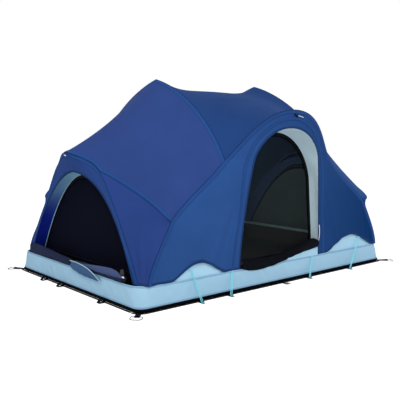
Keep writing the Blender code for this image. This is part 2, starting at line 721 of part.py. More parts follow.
def arch_half(foot, knee, top, bottom, steps):
    """Right half of an arch: a straight leg, then a quarter curve to the top."""
    rise = top - knee[1]
    curve = bezier((knee[0], knee[1], 0),
                   (knee[0] * ARCH_KNEE_SHARE, knee[1] + rise * ARCH_RISE_SHARE, 0),
                   (knee[0] * ARCH_TOP_SHARE, top, 0), (0, top, 0), steps)
    return [(foot, bottom)] + [(x, z) for x, z, _ in curve]


def door_half(lap):
    """Right half of the inner door opening, larger all round by a lap."""
    knee = (INNER_DOOR_KNEE_HALF + lap, INNER_DOOR_KNEE_HEIGHT)
    return arch_half(INNER_DOOR_FOOT_HALF + lap, knee, INNER_DOOR_TOP + lap, SILL_HEIGHT - lap, 7)


def window_half(lap):
    """Right half of the inner window opening, larger all round by a lap."""
    foot = (INNER_WINDOW_FOOT_HALF + lap, SILL_HEIGHT - lap, 0)
    top = (0, INNER_WINDOW_TOP + lap, 0)
    curve = bezier(foot, shifted(foot, -0.11, 0.21, 0), shifted(top, 0.27, 0, 0), top, 9)
    return [(y, z) for y, z, _ in curve]


def inner_side_half():
    """Right half of a side wall's outline, kept under the poles and the cover."""
    low = PAD_THICKNESS + SEAT_GAP
    edge = INNER_END_X - CLOTH / 2 - SEAT_GAP
    lower = [(edge, low), (edge - INNER_LEG_STEP, INNER_LEG_HEIGHTS[0]),
             (edge - INNER_WALL_MARGIN, INNER_LEG_HEIGHTS[1])]
    shoulder = (SHOULDER[0] - INNER_WALL_MARGIN, SHOULDER[2] - INNER_LEG_STEP)
    crossing = (CROSSING[0] - INNER_LEG_STEP, CROSSING[2] - INNER_WALL_DROP, 0)
    top = (0, HOOD_TOP[2] - INNER_HOOD_DROP, 0)
    hood = bezier(crossing, shifted(crossing, -0.12, 0.115, 0), shifted(top, 0.22, 0, 0), top, 6)
    return lower + [shoulder] + [(x, z) for x, z, _ in hood]


def inner_end_half():
    """Right half of an end wall's outline, kept inside the end hoop."""
    low = PAD_THICKNESS + SEAT_GAP
    edge = INNER_SIDE_Y - CLOTH / 2 - SEAT_GAP
    shoulder = (edge - INNER_END_SHOULDER_INSET, INNER_END_SHOULDER_HEIGHT, 0)
    top = (0, END_PEAK_HEIGHT - INNER_HOOD_DROP, 0)
    curve = bezier(shoulder, shifted(shoulder, -0.09, 0.21, 0), shifted(top, 0.30, -0.01, 0), top, 7)
    return [(edge, low), (edge, HEM_HEIGHT + INNER_END_LEG_RISE)] + [(y, z) for y, z, _ in curve]


def upright(across, position):
    """Stand a flat curve up, with its first axis along X or Y, and give it a place."""
    turn = Matrix.Rotation(math.pi / 2, 4, "X")
    if across == "Y":
        turn = Matrix.Rotation(math.pi / 2, 4, "Z") @ turn
    return Matrix.Translation(position) @ turn


def hang_on(piece, name, point, axis):
    """Parent a moving piece to an empty that stands on its joint, with Z along the axis."""
    turn = Vector((0, 0, 1)).rotation_difference(Vector(axis)).to_matrix().to_4x4()
    place = Matrix.Translation(point) @ turn
    pivot = bpy.data.objects.new(name, None)
    PARTS.objects.link(pivot)
    pivot.matrix_world = place
    piece.parent = pivot
    piece.matrix_parent_inverse = place.inverted()


def add_inner_walls():
    """Inner walls, and the mesh doors and windows that close their openings."""
    for side, sy in SIDES.items():
        outlines = [mirrored_outline(inner_side_half()), mirrored_outline(door_half(0))]
        wall = add_piece(f"inner_wall_{side}", flat_curve(f"inner_wall_{side}", outlines, CLOTH), "inner")
        wall.matrix_world = upright("X", (0, sy * INNER_SIDE_Y, 0))
        screen = add_piece(f"mesh_door_{side}",
                           flat_curve(f"mesh_door_{side}", [mirrored_outline(door_half(SCREEN_LAP))], CLOTH),
                           "mesh")
        plane = INNER_SIDE_Y - CLOTH - SEAT_GAP
        screen.matrix_world = upright("X", (0, sy * plane, 0))
        foot, knee = door_half(SCREEN_LAP)[:2]
        seam = sy * (plane + CLOTH / 2)
        start = Vector((sy * foot[0], seam, foot[1]))
        hang_on(screen, f"mesh_door_hinge_{side}", start, Vector((sy * knee[0], seam, knee[1])) - start)
    for end, sx in ENDS.items():
        outlines = [mirrored_outline(inner_end_half()), mirrored_outline(window_half(0))]
        wall = add_piece(f"inner_end_{end}", flat_curve(f"inner_end_{end}", outlines, CLOTH), "inner")
        wall.matrix_world = upright("Y", (sx * INNER_END_X, 0, 0))
        screen = add_piece(f"mesh_window_{end}",
                           flat_curve(f"mesh_window_{end}", [mirrored_outline(window_half(SCREEN_LAP))],
                                      CLOTH), "mesh")
        plane = INNER_END_X - CLOTH - SEAT_GAP
        screen.matrix_world = upright("Y", (sx * plane, 0, 0))
        foot = (sx * (plane + CLOTH / 2), 0, SILL_HEIGHT - SCREEN_LAP)
        hang_on(screen, f"mesh_window_hinge_{end}", foot, (0, 1, 0))


def lining_sheet(name, outer_edge, inner_edge, finish):
    """Strip of lining between the cover's opening and the inner wall."""
    middle = (outer_edge + inner_edge) / 2
    grid = np.stack([outer_edge, middle, inner_edge])
    centre = grid.mean(axis=(0, 1))
    normals = np.cross(np.gradient(grid, axis=1), np.gradient(grid, axis=0))
    normals /= np.linalg.norm(normals, axis=2, keepdims=True)
    if np.sum(normals * (grid - centre)) < 0:
        normals = -normals
    normals[:, :, 1] = 0
    normals /= np.linalg.norm(normals, axis=2, keepdims=True)
    add_piece(name, shell_mesh(name, grid + normals * CLOTH, grid), finish)


def add_linings(cover):
    """Grey linings of the two door hoods."""
    for side, sy in SIDES.items():
        leg, top = EDGE_DOOR_LEG[::-1], EDGE_DOOR_TOP
        edge = chain(flipped(leg, -1, sy), flipped(top, -1, sy), flipped(top[::-1], 1, sy),
                     flipped(leg[::-1], 1, sy))
        behind = cover.under(edge, CLOTH / 2 + LINING_GAP)
        arch = inner_arch_points(LINING_MARGIN, len(leg) - 1, len(top) - 1)
        arch = np.array([(x, sy * (INNER_SIDE_Y + CLOTH / 2 + SEAT_GAP), z) for x, z in arch])
        lining_sheet(f"door_lining_{side}", behind, arch, "lining")


def inner_arch_points(lap, leg_steps, top_steps):
    """Points round the inner door opening, in step with the cover's opening."""
    half = door_half(lap)
    outline = np.array([(x, max(z, HEM_HEIGHT + SEAT_GAP)) for x, z in half])
    lengths = np.r_[0, np.cumsum(np.linalg.norm(np.diff(outline, axis=0), axis=1))]
    knee = lengths[-1] * LINING_KNEE_SHARE
    marks = np.r_[np.linspace(0, knee, leg_steps + 1), np.linspace(knee, lengths[-1], top_steps + 1)[1:]]
    right = np.c_[np.interp(marks, lengths, outline[:, 0]), np.interp(marks, lengths, outline[:, 1])]
    left = right * (-1, 1)
    return chain(left, right[::-1])


def roll_mesh(name, centres, across, up, radius_of):
    """Rolled cloth: oval sections carried along a centre line, with closed ends."""
    angles = np.arange(ROLL_SIDES) / ROLL_SIDES * 2 * math.pi
    build = bmesh.new()
    rings = []
    for k, centre in enumerate(centres):
        radius = radius_of(k / (len(centres) - 1))
        ring = [centre + radius * (math.cos(a) * across + math.sin(a) * up) for a in angles]
        rings.append([build.verts.new(point) for point in ring])
    for ring, following in zip(rings, rings[1:]):
        for k in range(ROLL_SIDES):
            build.faces.new((ring[k - 1], ring[k], following[k], following[k - 1]))
    build.faces.new(rings[0])
    build.faces.new(rings[-1])
    bmesh.ops.recalc_face_normals(build, faces=build.faces)
    mesh = bpy.data.meshes.new(name)
    build.to_mesh(mesh)
    build.free()
    return mesh


def tied_radius(radius):
    """Radius along a roll: narrower at its tie and a little at its ends."""
    def at(t):
        pinch = ROLL_TIE_PINCH * math.exp(-((t - 0.5) / ROLL_TIE_SPREAD) ** 2)
        ends = ROLL_END_TAPER * abs(2 * t - 1) ** 6
        ripple = ROLL_RIPPLE * math.sin(t * ROLL_RIPPLE_RATE)
        return radius * (1 - pinch - ends + ripple)
    return at


def seated_height(radii, lifts, inset, flattening):
    """Height of a roll's centre line when the roll just lies on the band's wall."""
    lower = np.linspace(math.pi, 2 * math.pi, ROLL_SIDES // 2 + 1)
    outer = inset + CLOTH / 2
    edges = ((outer, BAND_HEIGHT), (outer - BAND_LEDGE, BAND_HEIGHT),
             (outer - BAND_LEDGE - BAND_WALL, BAND_HEIGHT - BAND_STEP))
    heights = [height - lift - np.interp(offset, flattening * radius * np.cos(lower), radius * np.sin(lower))
               for radius, lift in zip(radii, lifts) for offset, height in edges]
    return max(heights) + SEAT_GAP


def add_rolls():
    """Outer door and window panels, rolled down on their sills."""
    t = np.linspace(-1, 1, STEPS_ROLL + 1)
    level = np.ones_like(t)
    door_radius, window_radius = tied_radius(DOOR_ROLL_RADIUS), tied_radius(WINDOW_ROLL_RADIUS)
    for side, sy in SIDES.items():
        lift = DOOR_ROLL_RISE * np.clip(t, 0, 1) ** 2
        rest = seated_height([door_radius(v) for v in (t + 1) / 2], lift, DOOR_ROLL_INSET, 1.0)
        route = np.c_[t * DOOR_ROLL_HALF_LENGTH, -level * (HALF_W - DOOR_ROLL_INSET), rest + lift]
        turn = np.array([-sy, -sy, 1.0])
        mesh = roll_mesh(f"door_roll_{side}", route * turn, np.array([0.0, 1.0, 0.0]),
                         np.array([0.0, 0.0, 1.0]), door_radius)
        add_piece(f"door_roll_{side}", mesh, "roll")
    for end, sx in ENDS.items():
        rest = seated_height([window_radius(v) for v in (t + 1) / 2], 0 * t, WINDOW_ROLL_INSET,
                             WINDOW_ROLL_FLATTENING)
        route = np.c_[level * sx * (HALF_L - WINDOW_ROLL_INSET), t * WINDOW_ROLL_HALF_LENGTH, level * rest]
        mesh = roll_mesh(f"window_roll_{end}", route, np.array([WINDOW_ROLL_FLATTENING, 0.0, 0.0]),
                         np.array([0.0, 0.0, 1.0]), window_radius)
        add_piece(f"window_roll_{end}", mesh, "roll")


def corner_frame(sx, sy):
    """Origin, outward and crosswise directions of a corner tab."""
    corner = PAD_CORNER * (1 - math.sqrt(0.5))
    start = Vector((sx * (HALF_L + PAD_MARGIN - corner), sy * (HALF_W + PAD_MARGIN - corner), 0))
    outward = Vector((sx, sy, 0)).normalized()
    return start, outward, Vector((-outward.y, outward.x, 0))


def ring_pin(sx, sy):
    """Middle of the bore that a corner ring turns in."""
    start, outward, _ = corner_frame(sx, sy)
    return start + outward * (TAB_LENGTH + EYE_RADIUS / 2) + Vector((0, 0, EYE_RADIUS + EYE_LIFT))


def eye_objects(name, centre, across, length):
    """Sewn eye at the end of a tab, and the bore for its ring."""
    turn = Vector((0, 0, 1)).rotation_difference(across).to_matrix().to_4x4()
    made = []
    for label, radius, depth in (("eye", EYE_RADIUS, length), ("bore", EYE_BORE, length * 1.4)):
        bpy.ops.mesh.primitive_cylinder_add(vertices=12, radius=radius, depth=depth)
        piece = bpy.context.active_object
        piece.name = f"{name}_{label}"
        piece.data.transform(Matrix.Translation(centre) @ turn)
        made.append(hide_cutter(piece))
    return made


def post_cutter(name, x, y):
    """Turned post that a cord hooks round."""
    profile = [(POST_RADIUS, POST_ROOT), (POST_RADIUS, POST_HEIGHT - POST_NECK),
               (POST_HEAD, POST_HEIGHT - POST_RIM), (POST_HEAD, POST_HEIGHT)]
    build = bmesh.new()
    verts = [build.verts.new((r, 0, z)) for r, z in [(0, POST_ROOT)] + profile + [(0, POST_HEIGHT)]]
    for a, b in zip(verts, verts[1:]):
        build.edges.new((a, b))
    bmesh.ops.spin(build, geom=build.verts[:] + build.edges[:], cent=(0, 0, 0), axis=(0, 0, 1),
                   angle=2 * math.pi, steps=10, use_duplicate=False, use_merge=True)
    bmesh.ops.remove_doubles(build, verts=build.verts, dist=0.00001)
    bmesh.ops.recalc_face_normals(build, faces=build.faces)
    mesh = bpy.data.meshes.new(name)
    build.to_mesh(mesh)
    build.free()
    post = bpy.data.objects.new(name, mesh)
    post.data.transform(Matrix.Translation((x, y, 0)))
    return hide_cutter(post)


def side_outline():
    """Strip of webbing along the far side and round its corners, with lugs for hooks and strap."""
    inner = HALF_W + PAD_MARGIN + SEAT_GAP
    outer = inner + WEBBING_WIDTH
    tip = inner + HOOK_REACH + HOOK_WIDTH / 2
    centre_x = HALF_L + PAD_MARGIN - PAD_CORNER
    centre_y = HALF_W + PAD_MARGIN - PAD_CORNER

    def corner(radius, sign, tab):
        points = [(radius * math.cos(a), radius * math.sin(a)) for a in np.linspace(0, math.pi / 2, 5)]
        if tab:
            half = TAB_WIDTH / 2
            root = math.sqrt(radius ** 2 - half ** 2)
            tip = PAD_CORNER + TAB_LENGTH
            turned = [((out - side) * math.sqrt(0.5), (out + side) * math.sqrt(0.5))
                      for out, side in ((root, -half), (tip, -half), (tip, half), (root, half))]
            points[2:3] = turned
        return [(sign * (centre_x + x), centre_y + y) for x, y in points]

    inner_radius = PAD_CORNER + SEAT_GAP
    outer_radius = inner_radius + WEBBING_WIDTH
    lugs = []
    for x in sorted([hook for _, hook in CORDS] + [0.0], reverse=True):
        lugs += [(x + HOOK_WIDTH / 2, outer), (x + HOOK_WIDTH / 2, tip),
                 (x - HOOK_WIDTH / 2, tip), (x - HOOK_WIDTH / 2, outer)]
    points = (corner(outer_radius, 1, True) + lugs + corner(outer_radius, -1, True)[::-1]
              + corner(inner_radius, -1, False) + corner(inner_radius, 1, False)[::-1])
    return [(-x, y) for x, y in points]


def end_outline(sx):
    """Strip of webbing along an end, with its strap loops."""
    inner = HALF_L + PAD_MARGIN + SEAT_GAP
    outer = inner + WEBBING_WIDTH
    tip = outer + STRAP_LOOP_LENGTH
    half = HALF_W + PAD_MARGIN - PAD_CORNER - SEAT_GAP
    points = [(inner, -half), (outer, -half)]
    for y in STRAP_LOOP_PLACES:
        points += [(outer, y - STRAP_LOOP_WIDTH / 2), (tip, y - STRAP_LOOP_WIDTH / 2),
                   (tip, y + STRAP_LOOP_WIDTH / 2), (outer, y + STRAP_LOOP_WIDTH / 2)]
    points += [(outer, half), (inner, half)]
    return [(sx * x, -sx * y) for x, y in points]


def flat_mesh(name, outline, thickness):
    """Flat piece lying on the ground, as a mesh that can be cut."""
    mesh = mesh_of(flat_curve(name, [outline], thickness), name)
    mesh.transform(Matrix.Translation((0, 0, thickness / 2)))
    return mesh


def add_webbing():
    """Perimeter webbing with hooks, strap loops and corner tabs."""
    for side, sy in SIDES.items():
        name = f"webbing_{side}"
        strip = add_piece(name, flat_mesh(name, side_outline(), WEBBING_THICKNESS), "black")
        strip.data.transform(Matrix.Diagonal((sy, sy, 1, 1)))
        for k, (_, hook) in enumerate(CORDS):
            y = sy * (HALF_W + PAD_MARGIN + SEAT_GAP + HOOK_REACH)
            boolean(strip, post_cutter(f"{name}_post_{k + 1}", -sy * hook, y), "UNION")
        for end, sx in ENDS.items():
            across = corner_frame(sx, sy)[2]
            eye, bore = eye_objects(f"tab_{side}_{end}", ring_pin(sx, sy), across,
                                    TAB_WIDTH - 2 * EYE_SETBACK)
            boolean(strip, eye, "UNION")
            boolean(strip, bore, "DIFFERENCE")
    for end, sx in ENDS.items():
        name = f"webbing_{end}"
        add_piece(name, flat_mesh(name, end_outline(sx), WEBBING_THICKNESS), "black")


def add_rings():
    """Steel rings in the corner tabs, lying on the ground."""
    for side, sy in SIDES.items():
        for end, sx in ENDS.items():
            _, outward, across = corner_frame(sx, sy)
            pin = ring_pin(sx, sy)
            tilt = math.asin((EYE_RADIUS - RING_WIRE) / RING_LENGTH)
            radius = RING_BEND
            half = RING_WIDTH / 2 - RING_WIRE
            bend = [(RING_LENGTH - radius + radius * math.sin(a), half - radius + radius * math.cos(a))
                    for a in np.linspace(0, math.pi / 2, STEPS_BEND + 1)]
            local = [(0.0, -half), (0.0, 0.0), (0.0, half)] + bend + [(u, -v) for u, v in reversed(bend)]
            points = [pin + outward * (u * math.cos(tilt)) + across * v - Vector((0, 0, u * math.sin(tilt)))
                      for u, v in local]
            name = f"corner_ring_{side}_{end}"
            ring = add_piece(name, tube_curve(name, np.array(points), RING_WIRE, 1, cyclic=True), "steel")
            hang_on(ring, f"ring_pin_{side}_{end}", pin, across)


def hem_height_at(x, sx, sy):
    """Height of the hem over a place along the side, on the panel's straight runs."""
    hem = side_hem(sx, sy)
    order = np.argsort(hem[:, 0])
    return float(np.interp(x, hem[order, 0], hem[order, 2]))


def add_cords():
    """Elastic cords, each doubled from the hem down round its hook."""
    spread = POST_RADIUS + CORD_RADIUS + SEAT_GAP
    for side, sy in SIDES.items():
        for k, (top, hook) in enumerate(CORDS):
            top_x, hook_x = -sy * top, -sy * hook
            sx = 1 if top_x > 0 else -1
            hook_y = HALF_W + PAD_MARGIN + SEAT_GAP + HOOK_REACH
            base_z = WEBBING_THICKNESS + CORD_RADIUS + SEAT_GAP
            strands = []
            for offset in (-spread, spread):
                x = top_x + offset * CORD_TOP_CLOSING
                hem = hem_height_at(x, sx, sy) - CLOTH / 2 - SEAT_GAP
                upper = (x, sy * (HALF_W + CORD_TOP_REACH), hem)
                lower = (hook_x + offset, sy * (hook_y - CORD_TOE), base_z + CORD_TOE_RISE)
                level = (hook_x + offset, sy * hook_y, base_z)
                strands.append([upper, lower, level])
            bend = [(hook_x + spread * math.sin(a), sy * (hook_y + spread * math.cos(a)), base_z)
                    for a in np.linspace(-math.pi / 3, math.pi / 3, STEPS_BEND + 1)]
            route = strands[0] + bend + strands[1][::-1]
            name = f"cord_{side}_{k + 1}"
            add_piece(name, tube_curve(name, np.array(route), CORD_RADIUS, 2), "cord")


def add_sliders():
    """Zip sliders on the outer face of the inner walls, at the foot of each door's free edge."""
    lean = Vector((INNER_DOOR_KNEE_HALF - INNER_DOOR_FOOT_HALF, 0, INNER_DOOR_KNEE_HEIGHT - SILL_HEIGHT))
    lean.normalize()
    for side, sy in SIDES.items():
        sx = -sy
        bpy.ops.mesh.primitive_cube_add(size=1.0)
        slider = bpy.context.active_object
        slider.name = f"zip_slider_{side}"
        slider.data.transform(Matrix.Diagonal((SLIDER_WIDTH, SLIDER_DEPTH, SLIDER_LENGTH, 1)))
        slider.data.materials.append(material(slider.name, "plastic"))
        for collection in list(slider.users_collection):
            collection.objects.unlink(slider)
        PARTS.objects.link(slider)
        x = INNER_DOOR_FOOT_HALF + LINING_MARGIN / 2 + lean.x * SLIDER_START
        y = INNER_SIDE_Y + CLOTH / 2 + SEAT_GAP + SLIDER_DEPTH / 2
        slider.location = (sx * x, sy * y, SILL_HEIGHT + SLIDER_START)
        slider.rotation_euler = (0, sx * math.atan2(lean.x, lean.z), 0)
        edge = slider.modifiers.new("edges", "BEVEL")
        edge.width = SLIDER_EDGE
        edge.segments = 2


def smooth_rounds():
    """Shade round pieces smooth and keep their hard edges."""
    for piece in PARTS.objects:
        if piece.type == "MESH":
            piece.data.shade_smooth()
            piece.data.set_sharp_from_angle(angle=math.radians(40))


def main():
    """Build every piece of the tent."""
    cover = Cover()
    add_cover_panels(cover)
    cover.build()
    routes = pole_routes(cover)
    add_poles(routes)
    add_clips(cover, routes)
    add_ground_pad(routes)
    add_band()
    add_floor_sheet()
    add_inner_walls()
    add_linings(cover)
    add_rolls()
    add_webbing()
    add_rings()
    add_cords()
    add_sliders()
    smooth_rounds()


main()
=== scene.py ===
"""Ground tent with hooded doors and windows, dressed for its studio picture.

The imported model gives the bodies, the joints and the hard parts. This file gives the cloth, nets,
seams, rolls, webbing, rings and cords their form and finish, and sets the camera and the lamps.
X runs along the long side, Y across it and Z up, in metres. The near side is -Y, the left end -X.
"""

import functools
import logging
import math
from collections.abc import Callable, Sequence
from dataclasses import dataclass, field
from enum import Enum

import bpy
import numpy as np
from mathutils import Matrix, Vector


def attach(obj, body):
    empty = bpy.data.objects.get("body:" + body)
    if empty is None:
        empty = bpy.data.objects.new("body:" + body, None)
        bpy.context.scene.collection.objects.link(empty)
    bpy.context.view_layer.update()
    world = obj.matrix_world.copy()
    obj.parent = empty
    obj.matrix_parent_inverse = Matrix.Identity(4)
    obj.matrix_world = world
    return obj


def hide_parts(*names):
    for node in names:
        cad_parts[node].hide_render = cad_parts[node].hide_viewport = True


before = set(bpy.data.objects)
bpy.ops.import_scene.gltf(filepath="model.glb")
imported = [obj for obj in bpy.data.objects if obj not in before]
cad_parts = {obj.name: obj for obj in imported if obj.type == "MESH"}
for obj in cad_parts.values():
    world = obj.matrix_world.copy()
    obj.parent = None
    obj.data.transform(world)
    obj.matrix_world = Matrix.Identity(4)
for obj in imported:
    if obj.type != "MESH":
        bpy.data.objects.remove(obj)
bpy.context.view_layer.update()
LOG = logging.getLogger("tent")

Array = np.ndarray
Colour = tuple[float, float, float]
Point = tuple[float, float, float]
Socket = bpy.types.NodeSocket
FINE = 8
SETTLING = 160
SIDES = {"near": -1, "far": 1}
ENDS = {"left": -1, "right": 1}
QUARTERS = [(side, sy, end, sx) for side, sy in SIDES.items() for end, sx in ENDS.items()]
TAU = 2 * math.pi
HALF_L, HALF_W = 1.200, 0.780
CABIN_X, CABIN_Y = 1.090, 0.700
DOOR_FOOT_X, SILL_Z = 0.398, 0.175
DOOR_KNEE_X, DOOR_KNEE_Z = 0.350, 0.700


# ---------------------------------------------------------------- lines and grids


def unit(vectors: Array) -> Array:
    """Scale every vector of an array to length one."""
    return vectors / np.maximum(np.linalg.norm(vectors, axis=-1, keepdims=True), 1e-12)


def xyz(x: Array | float, y: Array | float, z: Array | float) -> Array:
    """Points of three coordinates that share one shape."""
    return np.stack(np.broadcast_arrays(x, y, z), axis=-1)


def raised(plan: Array, z: Array | float) -> Array:
    """Places of a plan lifted to their heights."""
    return np.concatenate([plan, np.broadcast_to(z, plan.shape[:-1])[..., None]], axis=-1)


def cubic(start: Sequence[float], first: Sequence[float], second: Sequence[float],
          end: Sequence[float], steps: int) -> Array:
    """Points at even steps of the parameter of a cubic Bezier curve.

    Args:
        start: first point.
        first: handle that the curve leaves towards.
        second: handle that it arrives from.
        end: last point.
        steps: number of steps.

    Returns:
        Points, (1-t)^3 a + 3(1-t)^2 t b + 3(1-t) t^2 c + t^3 d.
    """
    t = np.linspace(0.0, 1.0, steps + 1)[:, None]
    a, b, c, d = (np.asarray(point, float) for point in (start, first, second, end))
    return (1 - t) ** 3 * a + 3 * (1 - t) ** 2 * t * b + 3 * (1 - t) * t ** 2 * c + t ** 3 * d


def straight(start: Sequence[float], end: Sequence[float], steps: int) -> Array:
    """Points at even steps along a straight line."""
    t = np.linspace(0.0, 1.0, steps + 1)[:, None]
    return (1 - t) * np.asarray(start, float) + t * np.asarray(end, float)


def joined(*runs: Array) -> Array:
    """Several runs of points as one, without the doubled joints."""
    return np.vstack([runs[0]] + [run[1:] for run in runs[1:]])


def moved(point: Sequence[float], *offset: float) -> tuple[float, ...]:
    """A point moved by an offset."""
    return tuple(p + o for p, o in zip(point, offset))


def flipped(points: Array, sx: int, sy: int) -> Array:
    """Points of the positive quarter moved to another quarter."""
    return np.asarray(points) * np.array([sx, sy, 1.0])


def spanned(run: Array, first: tuple[int, int], second: tuple[int, int]) -> Array:
    """A run to the tent's middle in one quarter, and back out in another."""
    return joined(flipped(run, *first), flipped(run[::-1], *second))


def lengths_along(points: Array) -> Array:
    """Distance from the first point to each point, along the line."""
    return np.r_[0.0, np.cumsum(np.linalg.norm(np.diff(points, axis=0), axis=1))]


def resampled(points: Array, count: int) -> Array:
    """The same line with a number of evenly spaced points."""
    places = lengths_along(points)
    marks = np.linspace(0.0, places[-1], count)
    return np.stack([np.interp(marks, places, column) for column in points.T], axis=1)


def smooth_line(points: Sequence[Sequence[float]], count: int) -> Array:
    """Evenly spaced points of a Catmull-Rom curve.

    Args:
        points: places that the curve passes through.
        count: number of points to return.

    Returns:
        The line, with the spans' cubics summed from the four nearest places.
    """
    p = np.asarray(points, float)
    p = np.vstack([2 * p[0] - p[1], p, 2 * p[-1] - p[-2]])
    t = np.linspace(0.0, 1.0, 17)[None, :, None]
    a, b, c, d = (p[k:len(p) - 3 + k, None] for k in range(4))
    spans = 0.5 * (2 * b + (c - a) * t + (2 * a - 5 * b + 4 * c - d) * t ** 2
                   + (3 * b - a - 3 * c + d) * t ** 3)
    return resampled(np.vstack([spans[:, :-1].reshape(-1, p.shape[1]), p[-2]]), count)


def rounded(half_l: float, half_w: float, radius: float, count: int) -> Array:
    """Rounded rectangle as evenly spaced points, anticlockwise."""
    turns = np.linspace(0, math.pi / 2, 13)
    corners = [np.stack([sx * (half_l - radius) + radius * np.cos(q * math.pi / 2 + turns),
                         sy * (half_w - radius) + radius * np.sin(q * math.pi / 2 + turns)], axis=1)
               for q, (sx, sy) in enumerate(((1, 1), (-1, 1), (-1, -1), (1, -1)))]
    outline = np.vstack(corners)
    return resampled(np.vstack([outline, outline[:1]]), count + 1)[:-1]


def outward_of(plan: Array) -> Array:
    """Outward directions along a closed, anticlockwise plan."""
    ahead = unit(np.roll(plan, -1, axis=0) - np.roll(plan, 1, axis=0))
    return np.stack([ahead[:, 1], -ahead[:, 0]], axis=1)


def blended(top: Array, bottom: Array, left: Array, right: Array) -> Array:
    """Coons patch: the blend of two pairs of edges, less the blend of the corners.

    Args:
        top: first row, left to right.
        bottom: last row, left to right.
        left: first column, top to bottom.
        right: last column, top to bottom.

    Returns:
        Grid of points, rows by columns.
    """
    u = np.linspace(0, 1, len(top))[None, :, None]
    v = np.linspace(0, 1, len(left))[:, None, None]
    ruled = (1 - v) * top[None] + v * bottom[None] + (1 - u) * left[:, None] + u * right[:, None]
    return ruled - ((1 - u) * (1 - v) * top[0] + u * (1 - v) * top[-1]
                    + (1 - u) * v * bottom[0] + u * v * bottom[-1])


def stretched(top: Array, bottom: Array, left: Array, right: Array, fullness: float = 0.0) -> Array:
    """Taut cloth between four edges: a Coons patch settled from coarse to fine.

    Each level settles every point at the mean of its neighbours, then is halved in spacing by
    linear interpolation, with the true edges put back. Cloth cut full keeps a share of the patch.
    """
    full = blended(top, bottom, left, right)
    level, stride = full[::FINE, ::FINE].copy(), FINE
    while True:
        for _ in range(SETTLING):
            level[1:-1, 1:-1] = (level[:-2, 1:-1] + level[2:, 1:-1] + level[1:-1, :-2] + level[1:-1, 2:]) / 4
        if stride == 1:
            return (1 - fullness) * level + fullness * full
        stride //= 2
        edges = full[::stride, ::stride]
        finer = edges.copy()
        finer[::2, ::2] = level
        finer[1::2, ::2] = (level[:-1] + level[1:]) / 2
        finer[:, 1::2] = (finer[:, :-2:2] + finer[:, 2::2]) / 2
        finer[0], finer[-1], finer[:, 0], finer[:, -1] = edges[0], edges[-1], edges[:, 0], edges[:, -1]
        level = finer


def outward_normals(grid: Array, centre: Sequence[float] = (0.0, 0.0, 0.355)) -> Array:
    """Unit normals of a grid that point away from a centre."""
    normals = unit(np.cross(np.gradient(grid, axis=1), np.gradient(grid, axis=0)))
    return normals if np.sum(normals * (grid - np.asarray(centre))) > 0 else -normals


def walked(lines: Array, distance: Array) -> Array:
    """The place at a distance along each of many lines.

    Args:
        lines: steps by count by channels; the first three channels are the point.
        distance: one distance for each line.

    Returns:
        Count by channels, read between the steps on both sides.
    """
    steps = np.linalg.norm(np.diff(lines[..., :3], axis=0), axis=2)
    lengths = np.vstack([np.zeros(lines.shape[1]), np.cumsum(steps, axis=0)])
    upper = np.clip((lengths < distance).sum(axis=0), 1, len(lines) - 1)
    column = np.arange(lines.shape[1])
    low, high = lengths[upper - 1, column], lengths[upper, column]
    share = np.clip((distance - low) / np.maximum(high - low, 1e-9), 0.0, 1.0)[:, None]
    return lines[upper - 1, column] * (1 - share) + lines[upper, column] * share


def rings_along(path: Array, radius: float, sides: int, up: Sequence[float] = (0, 0, 1),
                flat: float = 1.0, closed: bool = False) -> Array:
    """Rings of points carried along a line.

    Args:
        path: centre line.
        radius: radius of the rings.
        sides: points in a ring.
        up: direction that the rings' second axis leans to.
        flat: height of a ring over its width.
        closed: whether the line closes on itself.

    Returns:
        Rings, centre + r (cos a * across + flat * sin a * upward).
    """
    tangent = unit(np.roll(path, -1, axis=0) - np.roll(path, 1, axis=0) if closed
                   else np.gradient(path, axis=0))
    across = unit(np.cross(tangent, np.asarray(up, float)))
    upward = np.cross(across, tangent)
    angle = (np.arange(sides) / sides * TAU)[None, :, None]
    return path[:, None] + radius * (np.cos(angle) * across[:, None] + flat * np.sin(angle) * upward[:, None])


# ---------------------------------------------------------------- meshes


